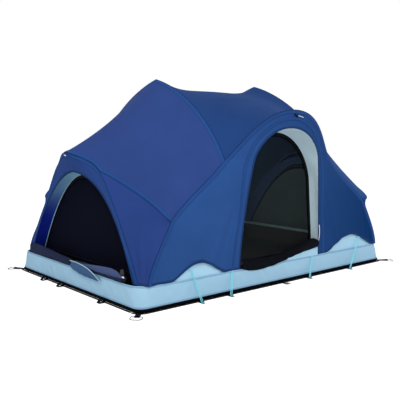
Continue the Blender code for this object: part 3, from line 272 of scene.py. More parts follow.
@dataclass
class Patchwork:
    """Points, faces and cloth coordinates of one mesh, gathered grid by grid."""

    points: list[Array] = field(default_factory=list)
    faces: list[Array] = field(default_factory=list)
    cloth: list[Array] = field(default_factory=list)
    finish: list[Array] = field(default_factory=list)
    count: int = 0

    def take(self, points: Array) -> Array:
        """Take points, and return their numbers."""
        index = self.count + np.arange(points.size // 3).reshape(points.shape[:-1])
        self.points.append(points.reshape(-1, 3))
        self.count += index.size
        return index

    def skin(self, grid: Array, around: bool = False, ring: bool = False, back: bool = False,
             slot: int = 0) -> Array:
        """Add a grid of quads.

        Args:
            grid: rows by columns by three.
            around: whether the last column meets the first.
            ring: whether the last row meets the first.
            back: whether the faces look the other way.
            slot: number of the finish.

        Returns:
            Numbers of the points, with the first repeated where the grid closes.
        """
        index, looped = self.take(grid), grid
        if around:
            index, looped = np.hstack([index, index[:, :1]]), np.hstack([looped, looped[:, :1]])
        if ring:
            index, looped = np.vstack([index, index[:1]]), np.vstack([looped, looped[:1]])
        across = lengths_along(looped[looped.shape[0] // 2])
        along = lengths_along(looped[:, looped.shape[1] // 2])
        self.quads(index, np.stack(np.meshgrid(across, along), axis=-1), back, slot)
        return index

    def quads(self, index: Array, uv: Array, back: bool = False, slot: int = 0) -> None:
        """Add the quads between numbered points that lie in rows."""
        corners = [(slice(0, -1), slice(0, -1)), (slice(0, -1), slice(1, None)),
                   (slice(1, None), slice(1, None)), (slice(1, None), slice(0, -1))]
        if back:
            corners.reverse()
        faces = np.stack([index[c] for c in corners], axis=-1).reshape(-1, 4)
        self.faces.append(faces)
        self.cloth.append(np.stack([uv[c] for c in corners], axis=2).reshape(-1, 4, 2))
        self.finish.append(np.full(len(faces), slot))

    def rim(self, first: Array, second: Array) -> None:
        """Close two rows of numbered points with quads; first's faces run along it forwards."""
        uv = np.stack(np.meshgrid(np.arange(len(first)) * 0.004, [0.0, 0.003]), axis=-1)
        self.quads(np.stack([second, first]), uv)

    def cap(self, ring: Array, centre: Sequence[float], back: bool) -> None:
        """Close a ring of numbered points with triangles, as quads of no width, to a centre."""
        tip = np.full(len(ring), self.take(np.asarray(centre, float)))
        uv = np.stack(np.meshgrid(np.arange(len(ring)) * 0.004, [0.0, 0.004]), axis=-1)
        self.quads(np.stack([tip, ring] if back else [ring, tip]), uv)

    def shell(self, outer: Array, inner: Array, around: bool = False, inner_slot: int = 0) -> "Patchwork":
        """Closed sheet between two grids of one size."""
        skin = self.skin(outer, around=around)
        back = self.skin(inner, around=around, back=True, slot=inner_slot)
        self.rim(skin[0], back[0])
        self.rim(back[-1], skin[-1])
        if not around:
            self.rim(back[:, 0], skin[:, 0])
            self.rim(skin[:, -1], back[:, -1])
        return self

    def disc(self, upper: Array, lower: Array) -> "Patchwork":
        """Closed round sheet between two grids of rings that run from the rim to the middle."""
        skin = self.skin(upper, around=True)
        back = self.skin(lower, around=True, back=True)
        self.rim(skin[0], back[0])
        self.cap(skin[-1], upper[-1].mean(axis=0), False)
        self.cap(back[-1], lower[-1].mean(axis=0), True)
        return self

    def tube(self, rings: Array, closed: bool = False) -> "Patchwork":
        """Tube through rings of points, closed on itself or with a cap at each end."""
        index = self.skin(rings, around=True, ring=closed)
        if not closed:
            self.cap(index[0], rings[0].mean(axis=0), True)
            self.cap(index[-1], rings[-1].mean(axis=0), False)
        return self

    def mesh(self, name: str, crease_angle: float) -> bpy.types.Mesh:
        """The gathered mesh, with its faces outwards and smooth shading."""
        data = bpy.data.meshes.new(name)
        points, faces = np.concatenate(self.points), np.concatenate(self.faces)
        data.from_pydata(points.tolist(), [], [tuple(dict.fromkeys(f)) for f in faces.tolist()])
        whole = np.ones(faces.shape, bool)
        whole[:, 1:] = faces[:, 1:] != faces[:, :-1]
        whole[:, 3] &= faces[:, 3] != faces[:, 0]
        layer = data.uv_layers.new(name="cloth")
        layer.data.foreach_set("uv", np.concatenate(self.cloth)[whole].astype(np.float32).ravel())
        data.polygons.foreach_set("material_index", np.concatenate(self.finish).astype(np.int32))
        data.update()
        data.calc_loop_triangles()
        corners = np.empty(len(data.loop_triangles) * 3, np.int32)
        data.loop_triangles.foreach_get("vertices", corners)
        a, b, c = points[corners.reshape(-1, 3)].transpose(1, 0, 2)
        if np.sum(a * np.cross(b, c)) < 0:
            data.flip_normals()
        data.shade_smooth()
        data.set_sharp_from_angle(angle=math.radians(crease_angle))
        return data


def strap(path: Array, across: Sequence[float] | Array, width: float, lift: Sequence[float] | Array = (0, 0, 1),
          thickness: float = 0.0026, border: float = 0.45, under: float = 0.04) -> Patchwork:
    """Flat strap with rounded borders, carried along a path.

    Args:
        path: its middle line.
        across: direction of its width.
        width: its width.
        lift: direction from its underside to its top.
        thickness: its thickness.
        border: share of the thickness at its borders.
        under: place of its underside over the path, in thicknesses.

    Returns:
        A closed strip, thickness * (border + (1 - border) (1 - s^8)) thick at s from -1 to 1.
    """
    s = np.linspace(-1, 1, 9)[:, None, None]
    flat = path + np.asarray(across, float) * s * width / 2
    rise = np.asarray(lift, float) * thickness
    return Patchwork().shell(flat + rise * (border + (1 - border) * (1 - s ** 8)), flat + rise * under)


# ---------------------------------------------------------------- finishes


def shade(colour: Colour, share: float = 1.0) -> Colour:
    """Linear colour of one that a screen shows from 0 to 255, made darker or lighter by a share."""
    screen = np.array(colour) / 255
    linear = np.where(screen <= 0.04045, screen / 12.92, ((screen + 0.055) / 1.055) ** 2.4)
    return tuple(min(1.0, float(channel) * share) for channel in linear)


class Recipe:
    """Nodes of one material or world, added and linked step by step."""

    def __init__(self, owner: bpy.types.Material | bpy.types.World) -> None:
        """Start from the owner's own nodes."""
        owner.use_nodes = True
        self.owner, self.tree = owner, owner.node_tree

    def add(self, kind: str, sockets: dict[int | str, object] | None = None,
            **settings: object) -> bpy.types.Node:
        """Add a node, set its options, and feed its sockets."""
        node = self.tree.nodes.new(kind)
        for key, value in settings.items():
            setattr(node, key, value)
        self.feed(node, sockets or {})
        return node

    def feed(self, node: bpy.types.Node, sockets: dict[int | str, object]) -> None:
        """Link each socket to another, or set its value."""
        for key, value in sockets.items():
            if isinstance(value, Socket):
                self.tree.links.new(value, node.inputs[key])
            else:
                node.inputs[key].default_value = value

    def surface(self, **values: object) -> None:
        """Feed the Principled shader's sockets; an underscore stands for a space."""
        self.feed(self.tree.nodes["Principled BSDF"], {k.replace("_", " "): v for k, v in values.items()})

    def math(self, operation: str, first: object, second: object = 0.0) -> Socket:
        """One step of arithmetic."""
        return self.add("ShaderNodeMath", {0: first, 1: second}, operation=operation).outputs[0]

    def place(self, kind: str) -> Socket:
        """Object or UV coordinates."""
        return self.add("ShaderNodeTexCoord").outputs[kind]

    def noise(self, where: Socket, scale: float, detail: float = 2.0) -> Socket:
        """Cloudy noise from 0 to 1."""
        return self.add("ShaderNodeTexNoise", {"Vector": where, "Scale": scale, "Detail": detail}).outputs[0]

    def mixed(self, factor: object, first: Colour | Socket, second: Colour | Socket) -> Socket:
        """Blend of two colours."""
        ends = [(*end, 1.0) if isinstance(end, tuple) else end for end in (first, second)]
        return self.add("ShaderNodeMix", {0: factor, 6: ends[0], 7: ends[1]}, data_type="RGBA").outputs[2]

    def spread(self, value: Socket, low: float, high: float, to_low: float = 0.0,
               to_high: float = 1.0) -> Socket:
        """A range of values carried to another, and held at its ends."""
        return self.add("ShaderNodeMapRange", {0: value, 1: low, 2: high, 3: to_low, 4: to_high}).outputs[0]

    def axes(self, kind: str = "UV") -> list[Socket]:
        """Coordinates one by one: the cloth's two, or the object's three, in metres."""
        return list(self.add("ShaderNodeSeparateXYZ", {0: self.place(kind)}).outputs)

    def wave(self, along: Socket, pitch: float) -> Socket:
        """Sine of a coordinate with a pitch in metres."""
        return self.math("SINE", self.math("MULTIPLY", along, TAU / pitch))

    def relief(self, height: Socket, depth: float, strength: float = 1.0) -> None:
        """Bump of a height from 0 to 1 with a depth in metres."""
        node = self.add("ShaderNodeBump", {"Height": height, "Distance": depth, "Strength": strength})
        self.surface(Normal=node.outputs[0])

    def white_rays(self) -> Socket:
        """One for the rays that see plain white: from the camera, mirrored or let through."""
        path = self.add("ShaderNodeLightPath").outputs
        return self.math("MAXIMUM", path["Is Camera Ray"],
                         self.math("MAXIMUM", path["Is Glossy Ray"], path["Is Transmission Ray"]))


@dataclass(frozen=True)
class Finish:
    """What every finish has: a name and a colour as a screen shows it."""

    name: str
    colour: Colour

    def recipe(self) -> Recipe:
        """A new material's nodes."""
        return Recipe(bpy.data.materials.new(self.name))


@dataclass(frozen=True)
class Cloth(Finish):
    """Woven cloth with a fine weave and a slightly uneven dye.

    A second colour, painted light and shade, can be reached at the right end of each long side, seen
    from outside; a third one below a height is painted shade on the window linings and the floor's own
    cloth on the cabin walls.
    """

    right_painted_shade: Colour | None = None
    roughness: float = 0.82
    specular: float = 0.06
    thread: float = 0.0022
    depth: float = 0.00022
    mottle: float = 0.07
    crumple: float = 0.0010
    stitch: Colour | None = None
    rows: tuple[float, ...] = ()
    turn: tuple[float, float] = (-0.2, 1.05)
    low_cloth_and_shade: Colour | None = None
    fall: tuple[float, float] = (0.62, 0.74)

    def material(self) -> bpy.types.Material:
        """Weave from two crossed sines, crumple and dye from noise, and rows of stitches."""
        recipe = self.recipe()
        where = recipe.place("Object")
        along, across, _ = recipe.axes()
        cloudy = recipe.spread(recipe.noise(where, 2.6, 3.0), 0.3, 0.7)
        fine = recipe.noise(where, 90.0)
        tint = recipe.mixed(cloudy, shade(self.colour, 1 - self.mottle), shade(self.colour, 1 + self.mottle))
        x, y, z = recipe.axes("Object")
        # Painted light and shade: towards the right end of each long side the cloth turns to the second colour.
        if self.right_painted_shade:
            side = recipe.spread(y, -0.35, 0.35, -1.0, 1.0)
            rightward = recipe.math("MULTIPLY", recipe.math("MULTIPLY", x, side), -1.0)
            tint = recipe.mixed(recipe.spread(rightward, *self.turn), tint, shade(self.right_painted_shade))
        # Below a height the cloth turns to the third colour: painted shade on the window linings, the floor's own
        # cloth on the cabin walls.
        if self.low_cloth_and_shade:
            share = recipe.math("POWER", recipe.spread(z, *self.fall), 2.2)
            tint = recipe.mixed(share, shade(self.low_cloth_and_shade), tint)
        if self.stitch:
            dash = recipe.spread(recipe.wave(along, 0.007), -0.25, 0.05)
            for row in self.rows:
                away = recipe.math("ABSOLUTE", recipe.math("SUBTRACT", across, row))
                thread = recipe.math("MULTIPLY", recipe.spread(away, 0.0006, 0.0012, 1.0, 0.0), dash)
                tint = recipe.mixed(thread, tint, shade(self.stitch))
        weave = recipe.math("MULTIPLY", recipe.wave(along, self.thread), recipe.wave(across, self.thread))
        soft = recipe.math("MULTIPLY", recipe.noise(where, 16.0, 3.0), self.crumple)
        recipe.surface(Base_Color=tint, Specular_IOR_Level=self.specular,
                       Roughness=recipe.spread(fine, 0.3, 0.7, self.roughness - 0.06, self.roughness + 0.06))
        recipe.relief(recipe.math("ADD", recipe.math("MULTIPLY", weave, self.depth), soft), 1.0, 0.6)
        return recipe.owner


@dataclass(frozen=True)
class Netting(Finish):
    """Fine insect net: threads round small holes that the background shows through."""

    veil: float
    pitch: float = 0.0030

    def material(self) -> bpy.types.Material:
        """Threads where either crossed sine is near its peak; the holes keep a thin veil."""
        recipe = self.recipe()
        threads = [recipe.math("POWER", recipe.math("ABSOLUTE", recipe.wave(axis, self.pitch * 2)), 14.0)
                   for axis in recipe.axes()[:2]]
        net = recipe.math("MAXIMUM", *threads)
        cloudy = recipe.noise(recipe.place("Object"), 5.0)
        recipe.surface(Base_Color=recipe.mixed(cloudy, shade(self.colour, 0.8), shade(self.colour, 1.2)),
                       Roughness=0.85, Specular_IOR_Level=0.04,
                       Alpha=recipe.spread(net, 0.3, 1.0, self.veil, 1.0))
        recipe.relief(net, 0.0003, 0.5)
        return recipe.owner


@dataclass(frozen=True)
class Webbing(Finish):
    """Ribbed strap with a herringbone face."""

    rib: float = 0.0022
    roughness: float = 0.68

    def material(self) -> bpy.types.Material:
        """Ribs across the strap, broken by a slanting twill, with a little lint."""
        recipe = self.recipe()
        along, across, _ = recipe.axes()
        slant = recipe.wave(recipe.math("ADD", along, recipe.math("PINGPONG", across, 0.004)), self.rib * 1.7)
        ribs = recipe.math("MULTIPLY", recipe.wave(along, self.rib), slant)
        lint = recipe.spread(recipe.noise(recipe.place("Object"), 140.0, 3.0), 0.45, 0.8)
        recipe.surface(Base_Color=recipe.mixed(lint, shade(self.colour), shade(self.colour, 1.8)),
                       Roughness=recipe.spread(lint, 0.0, 1.0, self.roughness, self.roughness + 0.15),
                       Specular_IOR_Level=0.04)
        recipe.relief(ribs, 0.0001, 0.6)
        return recipe.owner


@dataclass(frozen=True)
class Braid(Finish):
    """Round elastic cord with a braided cover."""

    fleck: Colour
    lay: float = 0.006
    girth: float = 0.0113

    def material(self) -> bpy.types.Material:
        """Strands from two waves that wind round the cord opposite ways."""
        recipe = self.recipe()
        around, along, _ = recipe.axes()
        turn = recipe.math("MULTIPLY", around, 2 * self.lay / self.girth)
        strands = recipe.math("MAXIMUM", *(recipe.wave(recipe.math(way, along, turn), self.lay)
                                           for way in ("ADD", "SUBTRACT")))
        colour = recipe.mixed(recipe.spread(strands, -0.2, 0.9), shade(self.fleck), shade(self.colour))
        recipe.surface(Base_Color=colour, Roughness=recipe.spread(strands, -1.0, 1.0, 0.7, 0.5),
                       Sheen_Weight=0.15)
        recipe.relief(strands, 0.0005, 0.8)
        return recipe.owner


@dataclass(frozen=True)
class Hard(Finish):
    """Metal, plastic or fibreglass with fine wear."""

    roughness: float
    metallic: float = 0.0
    grain: float = 60.0

    def material(self) -> bpy.types.Material:
        """Roughness and a slight tint from noise, with a faint bump."""
        recipe = self.recipe()
        where = recipe.place("Object")
        wear = recipe.spread(recipe.noise(where, self.grain, 4.0), 0.35, 0.7)
        recipe.surface(Base_Color=recipe.mixed(wear, shade(self.colour), shade(self.colour, 0.78)),
                       Roughness=recipe.spread(wear, 0.0, 1.0, self.roughness * 0.8, self.roughness * 1.25),
                       Metallic=self.metallic)
        recipe.relief(recipe.noise(where, self.grain * 6), 0.0001, 0.5)
        return recipe.owner


@dataclass(frozen=True)
class Zip(Finish):
    """Woven zip tape with its coil along the middle."""

    coil: float = 0.0016

    def material(self) -> bpy.types.Material:
        """Teeth as a wave along the tape."""
        recipe = self.recipe()
        along, across, _ = recipe.axes()
        teeth = recipe.wave(along, self.coil)
        colour = recipe.mixed(recipe.spread(teeth, -1, 1), shade(self.colour), shade(self.colour, 2.0))
        recipe.surface(Base_Color=colour, Specular_IOR_Level=0.05,
                       Roughness=recipe.spread(recipe.wave(across, self.coil), -1, 1, 0.5, 0.7))
        recipe.relief(teeth, 0.0006, 0.8)
        return recipe.owner


NAVY = (18, 30, 62)


class Stuff(Enum):
    """Every finish on the tent."""

    # The end roofs' and the sides' second colours are painted light and shade at the right end of each long side.
    ROOF_END = Cloth("violet_blue_cloth", (48, 71, 132), (48, 84, 138), turn=(0.35, 0.9))
    CORNER = Cloth("corner_blue_cloth", (44, 68, 132))
    ROOF_MID = Cloth("roof_blue_cloth", (34, 66, 122))
    SIDE = Cloth("side_blue_cloth", (44, 82, 142), (6, 52, 104))
    END_HOOD = Cloth("end_hood_blue_cloth", (46, 74, 138))
    SLEEVE = Cloth("sleeve_cloth", (40, 76, 138), stitch=NAVY, rows=(0.003, 0.024))
    HEM = Cloth("hem_cloth", (34, 62, 112), stitch=NAVY, rows=(0.003, 0.014))
    # Dark seam bindings: a real binding that also paints the shade in the seam's valley.
    PIPING = Cloth("seam_binding_and_shade", (20, 52, 102), crumple=0.0002)
    # The cover's reverse is lighter than its face: painted light that comes in through the cloth.
    BACK = Cloth("cover_reverse_painted_light", (66, 98, 140), roughness=0.8)
    # The end hoods' reverse is a deep saturated blue: painted light that shines through the cloth.
    PAINTED_GLOW = Cloth("hood_reverse_painted_glow", (14, 24, 122), roughness=0.8)
    LINING = Cloth("grey_lining", (220, 244, 255), roughness=0.66)
    # The window linings' deep blue low down is painted shade.
    END_LINING = Cloth("teal_lining", (150, 206, 228), roughness=0.66, low_cloth_and_shade=(6, 26, 120), fall=(0.40, 0.80))
    BAND = Cloth("pale_band_cloth", (170, 210, 233), roughness=0.6, mottle=0.03)
    FLAP = Cloth("pale_flap_cloth", (182, 224, 246), roughness=0.6, mottle=0.03)
    BAND_TAPE = Cloth("band_seam_tape", (150, 192, 220), roughness=0.6, mottle=0.03, stitch=(96, 136, 178),
                      rows=(0.002, 0.008))
    PAD = Cloth("black_pad_cloth", (6, 6, 8), roughness=0.9, specular=0.02, thread=0.003, depth=0.0001)
    TUB = Cloth("black_tub_cloth", (8, 8, 10), roughness=0.9, specular=0.02)
    SHEET = Cloth("floor_cloth", (66, 60, 58), roughness=0.8)
    INNER = Cloth("navy_inner_cloth", (84, 118, 170), roughness=0.8, low_cloth_and_shade=(84, 70, 66), fall=(0.174, 0.182))
    SILL = Cloth("sill_tape", (206, 248, 240), roughness=0.7)
    NET = Netting("insect_net", (34, 40, 42), 0.08)
    WINDOW_NET = Netting("window_net", (7, 9, 26), 0.92)
    # The window nets' inner face is lighter than their outer face: painted light that comes through the net.
    LIT_INSIDE_NET = Netting("window_net_inside_painted_light", (112, 132, 124), 0.92)
    ROLL = Cloth("rolled_door_cloth", (5, 8, 16), crumple=0.0024)
    ROLL_END = Cloth("roll_end_cloth", (64, 58, 64), roughness=0.75)
    WINDOW_ROLL = Cloth("rolled_window_cloth", (36, 44, 70), crumple=0.0024)
    FOLD = Cloth("turned_corner_cloth", (78, 92, 134), crumple=0.0016)
    LEAF = Cloth("turned_flap_cloth", (70, 100, 140), crumple=0.0015)
    LEAF_EDGE = Cloth("flap_edge_tape", (170, 204, 214), roughness=0.6)
    TIE = Webbing("tie_tape", (10, 10, 12))
    STRAP = Webbing("black_webbing", (6, 6, 8))
    CORD = Braid("teal_cord_braid", (150, 244, 252), (110, 220, 238))
    STEEL = Hard("ring_steel", (36, 38, 44), 0.46, 1.0)
    EYELET = Hard("eyelet_steel", (44, 46, 50), 0.4, 1.0)
    PLASTIC = Hard("black_moulding", (22, 22, 24), 0.42)
    POLE = Hard("grey_pole", (150, 153, 158), 0.35, 0.0, 30.0)
    ZIP = Zip("zip_tape", (9, 10, 13))
    TAG = Cloth("white_tag", (226, 230, 234), roughness=0.5, mottle=0.02)


@functools.cache
def material_of(stuff: Stuff) -> bpy.types.Material:
    """The one material of a finish."""
    return stuff.value.material()


def linked(name: str, data: bpy.types.ID) -> bpy.types.Object:
    """A new object in the scene."""
    thing = bpy.data.objects.new(name, data)
    bpy.context.scene.collection.objects.link(thing)
    return thing


def put(name: str, work: Patchwork, *stuffs: Stuff, slot: str, body: str = "tent",
        instead: str | None = None, crease_angle: float = 38.0) -> bpy.types.Object:
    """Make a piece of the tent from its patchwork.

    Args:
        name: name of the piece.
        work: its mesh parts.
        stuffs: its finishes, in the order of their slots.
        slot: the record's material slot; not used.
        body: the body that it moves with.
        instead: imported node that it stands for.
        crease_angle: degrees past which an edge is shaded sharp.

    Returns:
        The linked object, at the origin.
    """
    piece = linked(name, work.mesh(name, crease_angle))
    for stuff in stuffs:
        piece.data.materials.append(material_of(stuff))
    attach(piece, body)
    if instead:
        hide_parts(instead)
    LOG.info("%s: %d faces", name, len(piece.data.polygons))
    return piece


# ---------------------------------------------------------------- outer cover


@dataclass
class Seams:
    """Lines that the cover is sewn on, in the quarter where X and Y are positive."""

    apex: Point = (0.500, 0.0, 1.420)
    crossing: Point = (0.522, 0.760, 0.867)
    hood_top: Point = (0.0, 0.882, 1.192)
    shoulder: Point = (0.964, 0.774, 0.512)
    side_leg: Point = (1.135, 0.780, 0.1504)
    end_peak: Point = (1.234, 0.0, 0.911)
    fork: Point = (1.151, 0.284, 0.797)
    end_leg: Point = (1.163, 0.722, 0.1504)
    door_shoulder: Point = (0.314, 0.828, 0.875)
    door_foot: Point = (0.400, 0.780, 0.1504)
    door_top: Point = (0.0, 0.855, 1.070)
    window_foot: Point = (1.166, 0.667, 0.1504)
    window_top: Point = (1.173, 0.0, 0.777)
    narrow_scallop: Point = (0.745, 0.215, 0.088)
    wide_scallop: Point = (0.790, 0.300, 0.108)

    def __post_init__(self) -> None:
        """Draw the curves."""
        def curve(start: Point, first: Point, second: Point, end: Point, steps: int) -> Array:
            return cubic(start, moved(start, *first), moved(end, *second), end, steps * FINE)

        self.arch = curve(self.apex, (0, 0.301, -0.074), (-0.006, -0.155, 0.271), self.crossing, 8)
        self.hood = curve(self.crossing, (-0.13, 0.04, 0.12), (0.28, -0.002, 0), self.hood_top, 5)
        self.upper = curve(self.crossing, (0.126, -0.012, -0.134), (-0.127, -0.024, 0.124), self.shoulder, 6)
        self.leg = curve(self.shoulder, (0.037, 0.004, -0.080), (-0.012, 0, 0.120), self.side_leg, 5)
        self.peak = curve(self.end_peak, (-0.014, 0.106, -0.022), (0.001, -0.081, 0.070), self.fork, 3)
        self.slope = curve(self.fork, (-0.195, 0.300, -0.170), (0.100, 0.060, 0.044), self.shoulder, 5)
        self.foot = curve(self.fork, (-0.003, 0.092, -0.080), (-0.026, -0.090, 0.138), self.end_leg, 5)
        self.join = straight(self.crossing, self.door_shoulder, 8 * FINE)
        self.door_leg = curve(self.door_shoulder, (0.031, -0.016, -0.145), (-0.008, 0, 0.230),
                              self.door_foot, 11)
        self.door_arch = curve(self.door_shoulder, (-0.040, 0.015, 0.100), (0.165, 0, 0), self.door_top, 5)
        self.window = curve(self.window_foot, (-0.008, -0.133, 0.290), (-0.038, 0.325, -0.026),
                            self.window_top, 8)

    def scallop(self, sx: int, sy: int) -> Point:
        """Centre, half width and rise of the scallop in one quarter."""
        return self.narrow_scallop if sx * sy > 0 else self.wide_scallop

    def rise(self, x: Array, sx: int, sy: int) -> Array:
        """Height of a scallop over the straight hem: a cosine raised to 1.4."""
        centre, half, rise = self.scallop(sx, sy)
        across = np.clip(np.abs(np.abs(x) - centre) / half, 0.0, 1.0)
        return rise * np.cos(across * math.pi / 2) ** 1.4

    def side_hem(self, sx: int, sy: int) -> Array:
        """Lower edge of a side panel, from the corner to the door."""
        hem = straight(self.side_leg, self.door_foot, 8 * FINE)
        hem[:, 2] += self.rise(hem[:, 0], sx, sy)
        return flipped(hem, sx, sy)


@dataclass(frozen=True)
class Crease:
    """A soft fold: a ridge from U, V to another U, V in a panel's own coordinates, from 0 to 1."""

    u: float
    v: float
    end_u: float
    end_v: float
    width: float
    height: float

    def lift(self, u: Array, v: Array, aspect: float) -> Array:
        """Height over the panel: a bell across the line, faded at both ends.

        Args:
            u: place across the panel.
            v: place down the panel.
            aspect: the panel's height over its width.

        Returns:
            Height in metres.
        """
        du, dv = self.end_u - self.u, (self.end_v - self.v) * aspect
        pu, pv = u - self.u, (v - self.v) * aspect
        length = math.hypot(du, dv)
        along = (pu * du + pv * dv) / length ** 2
        away = (pu * dv - pv * du) / length
        fade = np.sin(np.clip(along, 0, 1) * math.pi) ** 0.7
        return self.height * fade * np.exp(-(away / self.width) ** 2)


CREASES = {kind: [Crease(*row) for row in rows] for kind, rows in {
    "side": ((0.93, 0.22, 0.97, 0.98, 0.016, 0.0060), (0.86, 0.30, 0.89, 1.00, 0.020, 0.0055),
             (0.78, 0.42, 0.77, 0.99, 0.022, -0.0040), (0.70, 0.55, 0.66, 0.98, 0.030, 0.0035),
             (0.05, 0.52, 0.45, 0.78, 0.035, 0.0050), (0.04, 0.60, 0.22, 0.98, 0.025, -0.0045),
             (0.10, 0.30, 0.60, 0.40, 0.080, 0.0050), (0.30, 0.85, 0.62, 0.97, 0.030, 0.0030)),
    "roof": ((0.05, 0.25, 0.95, 0.20, 0.060, 0.0040), (0.05, 0.75, 0.95, 0.80, 0.060, 0.0040),
             (0.10, 0.06, 0.85, 0.10, 0.030, -0.0030), (0.10, 0.94, 0.85, 0.90, 0.030, -0.0030)),
    "middle": ((0.04, 0.30, 0.96, 0.26, 0.060, 0.0040), (0.04, 0.70, 0.96, 0.74, 0.060, 0.0040),
               (0.03, 0.04, 0.35, 0.22, 0.030, 0.0050), (0.97, 0.04, 0.65, 0.22, 0.030, 0.0050),
               (0.03, 0.96, 0.35, 0.78, 0.030, 0.0050), (0.97, 0.96, 0.65, 0.78, 0.030, 0.0050)),
    "corner": ((0.50, 0.20, 0.42, 0.98, 0.060, 0.0060), (0.25, 0.50, 0.30, 0.99, 0.050, -0.0040),
               (0.75, 0.45, 0.62, 0.99, 0.050, -0.0045)),
    "end_hood": ((0.52, 0.20, 0.68, 0.45, 0.012, 0.0036), (0.51, 0.45, 0.62, 0.80, 0.010, 0.0030),
                 (0.48, 0.20, 0.32, 0.45, 0.012, 0.0036), (0.49, 0.45, 0.38, 0.80, 0.010, 0.0030)),
    "door_hood": (),
}.items()}


@dataclass
class Panel:
    """One sewn panel: its middle surface, its normals and its finish."""

    name: str
    grid: Array
    stuff: Stuff
    slot: str
    creases: Sequence[Crease]
    back: Stuff = Stuff.BACK
    free: float = 0.0
    normals: Array = field(default_factory=lambda: np.zeros(0))

    def fold(self) -> None:
        """Raise the creases, and ripple the free hem, without moving the sewn edges."""
        rows, columns = self.grid.shape[:2]
        u = np.linspace(0, 1, columns)[None, :]
        v = np.linspace(0, 1, rows)[:, None]
        width = lengths_along(self.grid[rows // 2])[-1]
        height = lengths_along(self.grid[:, columns // 2])[-1]
        lift = sum((crease.lift(u, v, height / width) for crease in self.creases), np.zeros((rows, columns)))
        still = np.clip(np.minimum(u, 1 - u) * 14, 0, 1) * np.clip(v * 14, 0, 1)
        if not self.free:
            still = still * np.clip((1 - v) * 14, 0, 1)
        ripple = self.free * np.sin(u * 31 + 2 * np.sin(u * 9)) * v ** 6
        self.grid = self.grid + self.normals * ((lift + ripple) * still)[..., None]

    def lines_from(self, edge: str) -> Array:
        """Lines of points and normals that run from one edge into the panel."""
        both = np.concatenate([self.grid, self.normals], axis=2)
        return {"top": both, "bottom": both[::-1], "left": both.transpose(1, 0, 2),
                "right": both[:, ::-1].transpose(1, 0, 2)}[edge]

    def tape(self, edge: str, start: float, width: float, height: float) -> Patchwork:
        """Flat tape sewn on the panel along one edge.

        Args:
            edge: the edge.
            start: distance of the tape from the edge.
            width: width of the tape.
            height: thickness of the tape at its middle.

        Returns:
            A closed strip whose top is height (1 - s^4) over the cloth, s from -1 to 1.
        """
        lines = self.lines_from(edge)
        tangent = unit(np.gradient(lines[0, :, :3], axis=0))
        leave = unit(lines[2, :, :3] - lines[0, :, :3])
        slant = np.sqrt(np.clip(1 - np.sum(tangent * leave, axis=1) ** 2, 0.25, 1))
        s = np.linspace(-1, 1, 9)
        places = np.stack([walked(lines, (start + width * (k + 1) / 2) / slant) for k in s])
        points, normals = places[..., :3], unit(places[..., 3:])
        lift = height * (1 - s ** 4)[:, None, None] + 0.0009
        return Patchwork().shell(points + normals * lift, points - normals * 0.0006)


SLEEVE = (Stuff.SLEEVE, 0.001, 0.027, 0.0030)
HEM = (Stuff.HEM, 0.0, 0.017, 0.0013)
DOOR_HEM = (Stuff.HEM, 0.0, 0.014, 0.0014)
WINDOW_HEM = (Stuff.HEM, 0.0, 0.016, 0.0014)
BINDING = None


